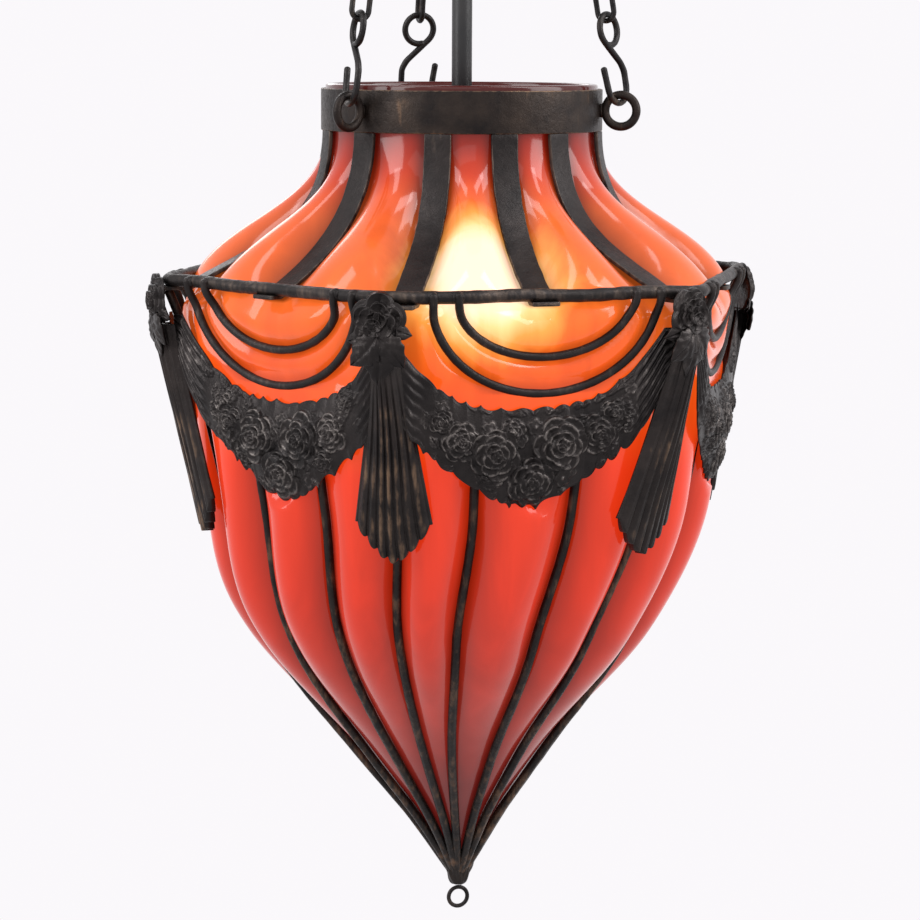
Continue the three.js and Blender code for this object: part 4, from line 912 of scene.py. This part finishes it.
def garland_sheet(side, shift, seed):
    """One garland. Columns run along the side and rows from the lower edge to the upper one in front, then
    back down behind. Out = 0.9 + 3.4 * (1 - (2v - 1)^2) + work, where the work is the highest of the
    leaves, flowers and roses and turns to pleats at the ends. The shift moves the middle to one side."""
    chance = np.random.default_rng(seed)
    half, leaf_count, flower_count, bud_count = 69.0, 52, 24, 11
    along = np.linspace(-half, half, 310)[None]
    v = np.linspace(0, 1, 106)[:, None]
    bent = along - shift
    fade = np.clip(1 - (np.abs(along) / half) ** 16, 0, 1)

    def scallops(k, drift, wave, pitch):
        """Leaf ends along an edge, 0 to 1: |sin|^0.7, and 1 less that where they are pointed."""
        row = np.abs(np.sin((bent + drift * np.sin(bent / wave + k * seed)) * math.pi / pitch)) ** 0.7
        return row + (1 - 2 * row) * smooth(0.5 + 0.5 * np.sin(bent / 11 + k * seed), 0.3, 0.7)

    notch, tooth = scallops(1, 4, 9, 9.5), scallops(2, 3, 7, 8.2)
    inner = 1 - smooth(np.abs(bent), 46, 58)
    top = swag_top(bent) + (1.9 * notch - 1.2) * fade * inner
    deep = 2.7 + 1.4 * np.sin(bent / 8.3 + 1.7 * seed)
    foot = swag_foot(bent) - deep * (tooth - 0.5) * fade * (0.4 + 0.6 * inner)
    height = foot + (top - foot) * v
    tall = np.maximum(top - foot, 1)
    x, y = bent + 0 * v, height + 0 * bent
    work = 0 * x
    for _ in range(leaf_count):
        s = chance.uniform(-56, 56)
        upper, lower = swag_top(s), swag_foot(s)
        rim, low = chance.random() < 0.6, chance.random() < 0.55
        z = (lower + 3.5 if low else upper - 3.0) if rim else chance.uniform(lower + 5, upper - 4)
        size = chance.uniform(7.5, 11)
        turn = (math.copysign(1, z - (upper + lower) / 2) * chance.uniform(0.5, 1.5) if rim
                else chance.uniform(-3, 3))
        turn = turn if s > 0 else math.pi - turn
        lobe = leaf_height((x - s) / size, (y - z) / size, turn)
        work = np.maximum(work, 1.5 * lobe * (1 - smooth(abs(s), 50, 60)))
    for _ in range(flower_count):
        s = chance.uniform(-52, 52)
        z = chance.uniform(swag_foot(s) + 4.5, swag_top(s) - 4.5)
        size = chance.uniform(3.2, 4.8)
        bloom = flower_height((x - s) / size, (y - z) / size, chance.uniform(0, 6))
        work = np.maximum(work, 1.9 * bloom)
    buds = [(chance.uniform(-50, 50), chance.uniform(0.2, 0.8), chance.uniform(5.5, 8.0))
            for _ in range(bud_count)]
    buds = [(s, swag_foot(s) + share * (swag_top(s) - swag_foot(s)), size) for s, share, size in buds]
    roses = ((-33, -147, 9.6), (34, -146, 9.8), (-15.5, -153, 13.2), (14.5, -151, 13.6), (0.5, -168.4, 12.2))
    for s, z, size in (*buds, *roses):
        s, z = s + chance.uniform(-1.5, 1.5), z + chance.uniform(-1.5, 1.5)
        bloom = rose_height((x - s) / size, (y - z) / size, chance)
        work = np.where(bloom > 0.02, np.maximum(work * 0.45, (1.3 + 0.15 * size) * bloom + 0.3), work)
    pleats = 0.5 + 0.5 * np.cos(2 * math.pi * (6.5 * v + 0.25 * np.sin(bent / 6)))
    ends = smooth(np.abs(bent), 48, 57)
    work = work * (1 - ends) + 1.25 * pleats * ends
    dome = 3.4 * (1 - (2 * v - 1) ** 2) * np.clip(1 - (np.abs(along) / half) ** 2.2, 0, 1)
    rim = smooth(np.minimum(v, 1 - v) * tall, 0, 1.6)
    front = (0.9 + (dome + work) * rim) * fade
    # The relief that stands above its surroundings gets the lighter worn tone: rubbed wear, and also a
    # painted highlight on the rims of the petals and leaves.
    level = sum(np.roll(work, step, axis) for step, axis in ((4, 0), (-4, 0), (4, 1), (-4, 1))) / 4
    worn = np.clip(0.4 + 0.6 * (work - level), 0, 1)
    back = garland_back(height)
    place = np.concatenate([beside(side * 60, back + front, along, height),
                            beside(side * 60, back, along, height)[::-1]])
    return place, False, True, np.concatenate([worn, 0.2 + 0 * worn])


blackened_bronze = iron_material("blackened_bronze", (0.012, 0.010, 0.010), (0.032, 0.025, 0.023),
                                 (0.17, 0.105, 0.066), 0.5, 0.42)
# Pressed iron for the garlands and rosettes: its light grey worn tone on the raised relief is rubbed wear and
# also a painted highlight on the rims.
pressed_iron_worn_and_highlit = iron_material("pressed_iron_worn_and_highlit", (0.012, 0.010, 0.010), (0.03, 0.025, 0.024),
                             (0.12, 0.105, 0.098), 0.55, 0.34)
for side, shift in enumerate((-8.0, 3.0, -4.0, 5.0, -2.0, 4.0)):
    make_piece(f"pressed_garland_{side + 1}", [garland_sheet(side, shift, 500 + side)], pressed_iron_worn_and_highlit,
               "lamp_shade", [f"garland_{side + 1}"])


# Rosettes: a full rose pressed in sheet iron on each corner of the rail, over five leaves that hide
# the gathered top of the tassel.
def blade_sheets(front, back, crest):
    """A thin blade: its front and its back joined at both ends, and a strip along each of its edges."""
    edges = [(np.stack([front[:, k], back[:, k]]), False, False, 0.5) for k in (0, -1)]
    return [(np.concatenate([front, back[::-1]]), False, True, crest), *edges]


def rosette_sheets(azimuth, aside, sunk, seed):
    """The rose as rings from its back to its middle, with five petals round the rim: out = 0.9 + 4.3 * rose
    height + 1.2 * (1 - share^2), at most 6.5. Each leaf is a thin cupped blade, front and back."""
    chance = np.random.default_rng(seed)
    middle, level, rose_radius = 151.9 - sunk, -91.0, 13.2
    turn = np.radians(np.linspace(0, 360, 132, endpoint=False))[None]
    share = np.concatenate([np.linspace(0, 1, 6)[:-1], np.linspace(1, 0, 72)])[:, None]
    petals = 0.84 + 0.16 * np.abs(np.cos(2.5 * turn + seed)) ** 0.7
    x, y = share * np.cos(turn), share * np.sin(turn)
    lift = rose_height(x, y, chance, ((0.56, 5, 0.52, 0.06), (0.36, 4, 0.42, 0.36), (0.16, 3, 0.3, 0.66)))
    front = np.arange(len(share))[:, None] >= 6
    out = np.where(front, 0.9 + 4.3 * lift + 1.2 * (1 - share ** 2), 0.15 + 0 * lift)
    out[-1] = out[-1].mean()
    out = np.minimum(out, 6.5)
    reach = rose_radius * petals
    rose = beside(azimuth, middle + out, aside + x * reach, level + y * reach)
    # Higher petals get more of the lighter worn tone: rubbed wear, and also a painted highlight on the raised
    # relief.
    sheets = [(rose, True, False, np.where(front, np.clip(0.1 + 0.35 * lift, 0, 1), 0.2))]
    for lean, drop, size, lift in ((-1.3, -4, 16.0, 2.4), (1.32, -4, 15.5, 2.3), (-0.02, -9, 20.5, 2.9),
                                   (-0.66, -7, 19.0, 4.0), (0.68, -7, 18.5, 3.8)):
        lean = lean + chance.uniform(-0.12, 0.12)
        u, v = np.linspace(0, 1, 26)[:, None], np.linspace(-1, 1, 17)[None]
        half = size * 0.43 * np.sin(np.pi * u ** 0.85) ** 0.8 * (1 - 0.35 * u)
        wide = half * (1 + 0.08 * np.cos(27 * u + seed)) * v + size * 0.06 * np.sin(3 * u)
        rise = lift + 1.3 * (1 - v ** 2) * np.sin(np.pi * u) - 0.9 * np.exp(-(v / 0.13) ** 2) - 3.4 * u ** 2
        rise = rise + 0.22 * np.cos(24 * (u - 0.35 * np.abs(v))) * np.sin(np.pi * u)
        leaf_x = wide * math.cos(lean) + size * u * math.sin(lean)
        leaf_z = wide * math.sin(lean) - size * u * math.cos(lean) + drop
        front, back = [beside(azimuth, middle + rise - thick, aside + leaf_x, level + leaf_z)
                       for thick in (0.0, 0.7)]
        sheets += blade_sheets(front, back, 0.45)
    return sheets


corner_sinks = (0.0, 1.2, 2.4, 0.0, 0.5, 0.0)
for corner, (azimuth, aside, sunk) in enumerate(zip(tassel_azimuths, (-1, -3, -1, 1, 0, -1), corner_sinks)):
    make_piece(f"pressed_rosette_{corner + 1}", rosette_sheets(azimuth, aside, sunk, 700 + corner),
               pressed_iron_worn_and_highlit, "lamp_shade", [f"rosette_{corner + 1}"])


# Tassels: long fluted drops pressed in sheet iron that hang from the rosettes and fan out to a
# scalloped point. The ridges between the flutes are rubbed to brown.
def tassel_sheets(azimuth, lean, sunk, rub, seed):
    """Columns run across from -1 to 1 and rows from the top to the foot, in front and behind. Out = dome *
    (1 - 2.1 x^2), flatter towards the foot, + ridge. The foot is a shallow V with a scallop at each ridge."""
    chance = np.random.default_rng(seed)
    share = np.linspace(0, 1, 90)[:, None]
    x = np.linspace(-1, 1, 151)[None]
    half = 5.9 + 12.6 * share ** 1.05
    drift = 0.05 * np.sin(2.2 * share * math.pi + seed) * (1 - x ** 2)
    ridge = np.abs(np.cos(math.pi * 3.75 * (x + drift))) ** 0.8
    fine = 0.12 * np.cos(math.pi * 15 * x + 3 * share)
    dome = 4.6 * (1 - (2.1 - 0.9 * share) * x ** 2) * (1 - 0.25 * share)
    out = dome + (1.6 * ridge * share ** 0.4 + fine) * smooth(1 - np.abs(x), 0, 0.08)
    foot = -202.8 - 2.4 * ridge[-1:] + 18.5 * np.abs(x) ** 1.55
    height = tassel_top + (foot - tassel_top) * share
    radius = 151.6 - sunk * (1 - share) - 24.6 * (tassel_top - height) / tassel_length
    bend = lean * share ** 1.3 + 0.8 * np.sin(share * 2.6 + chance.uniform(0, 3))
    hollow = np.minimum(out - 1.0, 1.5 * (1 - x ** 2) - 2.2)
    front = beside(azimuth, radius + out, x * half + bend, height)
    behind = beside(azimuth, radius + hollow, x * half * 0.97 + bend, height)
    rubbed = 0.8 + 0.2 * np.sin(5.1 * x + seed)
    worn = np.clip(0.1 + rub * rubbed * ridge ** 1.5 * smooth(share, 0.1, 0.5), 0, 1)
    return blade_sheets(front, behind, np.concatenate([worn, 0.2 + 0 * worn]))


tassel_leans, tassel_rubs = (1.0, -10.5, 1.5, -1.0, 0.5, -1.5), (0.85, 0.5, 0.7, 0.8, 0.85, 0.75)
for corner, where in enumerate(zip(tassel_azimuths, tassel_leans, corner_sinks, tassel_rubs)):
    make_piece(f"fluted_tassel_{corner + 1}", tassel_sheets(*where, 800 + corner), blackened_bronze,
               "lamp_shade", [f"tassel_{corner + 1}"])


# Chains: an S-hook in each eye, bent from one wire with its upper end closed to a loop, and three
# plain links between it and the canopy's staple. Black iron, rubbed a little where the wires meet.
def hung(line, azimuth, across_azimuth):
    """A flat line of (across, up) carried into a plane through one leaning chain, and the plane's normal.
    The line counts up the chain from the hook's lowest wire."""
    up = -math.sin(chain_lean) * unit(azimuth) + math.cos(chain_lean) * np.array([0, 0, 1.0])
    origin = eye_centre * unit(azimuth) + [0, 0, collar_z] + up * hook_in_eye
    up, across, normal = square_to(up[None], unit(across_azimuth))
    return origin + line[:, :1] * across + line[:, 1:] * up, normal


def arc(u, w, radius, start, end, steps):
    """Points of a circle's arc in a chain's plane: its middle, radius, and the angles in degrees."""
    turn = np.radians(np.linspace(start, end, steps))
    return np.stack([u + radius * np.cos(turn), w + radius * np.sin(turn)], 1)


def spaced(line, count, loop=False):
    """The same line through evenly spaced points."""
    length = np.concatenate([[0], np.cumsum(np.linalg.norm(np.diff(line, axis=0), axis=1))])
    s = np.linspace(0, length[-1], count, endpoint=not loop)
    return np.stack([np.interp(s, length, line[:, k]) for k in (0, 1)], 1)


hook_points, link_points = 130, 80
for i, (azimuth, twist) in enumerate(zip(chain_azimuths, (-28, -23, 0))):
    line = np.concatenate([arc(0, hook_loop_rise, hook_loop, -74, -405, 56),
                           [[-hook_bend + 2.2, hook_tip_rise + 2.2], [-hook_bend, hook_tip_rise - 2]],
                           arc(0, hook_bend, hook_bend, 180, 360, 30), [[hook_bend + 1.2, hook_tip_rise]]])
    line = spaced(line, hook_points)
    for _ in range(3):
        line[1:-1] = (line[:-2] + 2 * line[1:-1] + line[2:]) / 4
    path, normal = hung(line, azimuth, azimuth - 90 + twist)
    thick = hook_wire / 2 * (1 + 0.03 * wobble(hook_points, 150, 12, 900 + i))
    hook = wire(path, thick, normal)
    worn = 0.4 + 0.5 * np.exp(-(((line[:, 1] - 0.5) / 3) ** 2))
    worn = np.interp(np.linspace(0, 1, len(hook[0])), np.linspace(0, 1, hook_points), worn)[:, None]
    make_piece(f"bent_hook_{i + 1}", [(*hook[:3], worn)], black_iron, f"hook_{i + 1}",
               [f"chain_hook_{i + 1}"])
    for k, name in enumerate("cba"):
        rise = first_link + k * link_pitch
        turn = azimuth - (90 if k % 2 else 0) + twist * (1 - (k + 1) / 4)
        line = np.concatenate([arc(0, rise + link_half_straight, link_half_width, 0, 180, 22),
                               arc(0, rise - link_half_straight, link_half_width, 180, 360, 22)])
        path, normal = hung(spaced(np.concatenate([line, line[:1]]), link_points, True), azimuth, turn)
        thick = link_wire / 2 * (1 + 0.03 * wobble(link_points, 60, 9, 950 + 3 * i + k, True))
        link = wire(path, thick, normal, 12, True, 0.45)
        body = f"upper_link_{i + 1}" if name == "a" else f"lower_links_{i + 1}"
        make_piece(f"chain_link_{name}_{i + 1}", [link], black_iron, body,
                   [f"link_{name}_{i + 1}"])

# Studio: a white seamless surround, near-white to the camera and in what metal and glass mirror,
# softly lit by two tall windows, two skylights above them, a fill in front and a light behind.
world = bpy.data.worlds.new("studio")
bpy.context.scene.world = world
world.use_nodes = True
tree = world.node_tree
rays = node(tree, "LightPath").outputs
mirrored = maths(tree, "MAXIMUM", rays["Is Glossy Ray"], rays["Is Transmission Ray"])
seen = maths(tree, "MAXIMUM", rays["Is Camera Ray"], mirrored)
surround = blend_colours(tree, seen, (0.45, 0.45, 0.46), (0.96, 0.94, 0.965))
tree.links.new(surround, tree.nodes["Background"].inputs["Color"])
lamp_middle = Vector((0, 0, -0.25))


def window(name, azimuth, height, distance, size, power):
    """Area light facing the lamp: azimuth in degrees round it, height above its middle, in metres."""
    lamp = bpy.data.objects.new(name, bpy.data.lights.new(name, "AREA"))
    lamp.data.shape = "RECTANGLE"
    lamp.data.size, lamp.data.size_y = size
    lamp.data.energy = power
    place = lamp_middle + Vector(polar(distance, azimuth, height))
    facing = (lamp_middle - place).to_track_quat("-Z", "Y").to_matrix().to_4x4()
    lamp.matrix_world = Matrix.Translation(place) @ facing
    bpy.context.scene.collection.objects.link(lamp)


window("left_window", -80, 0.85, 1.7, (1.0, 1.6), 30)
window("left_skylight", -76, 1.45, 0.8, (0.34, 0.9), 6)
window("right_window", 58, 0.9, 1.6, (1.1, 1.6), 32)
window("right_skylight", 42, 1.4, 0.85, (0.36, 0.9), 7)
window("front_fill", -24, 1.25, 2.4, (2.0, 1.2), 7)
window("back_light", 180, 0.9, 2.2, (0.9, 0.9), 6)
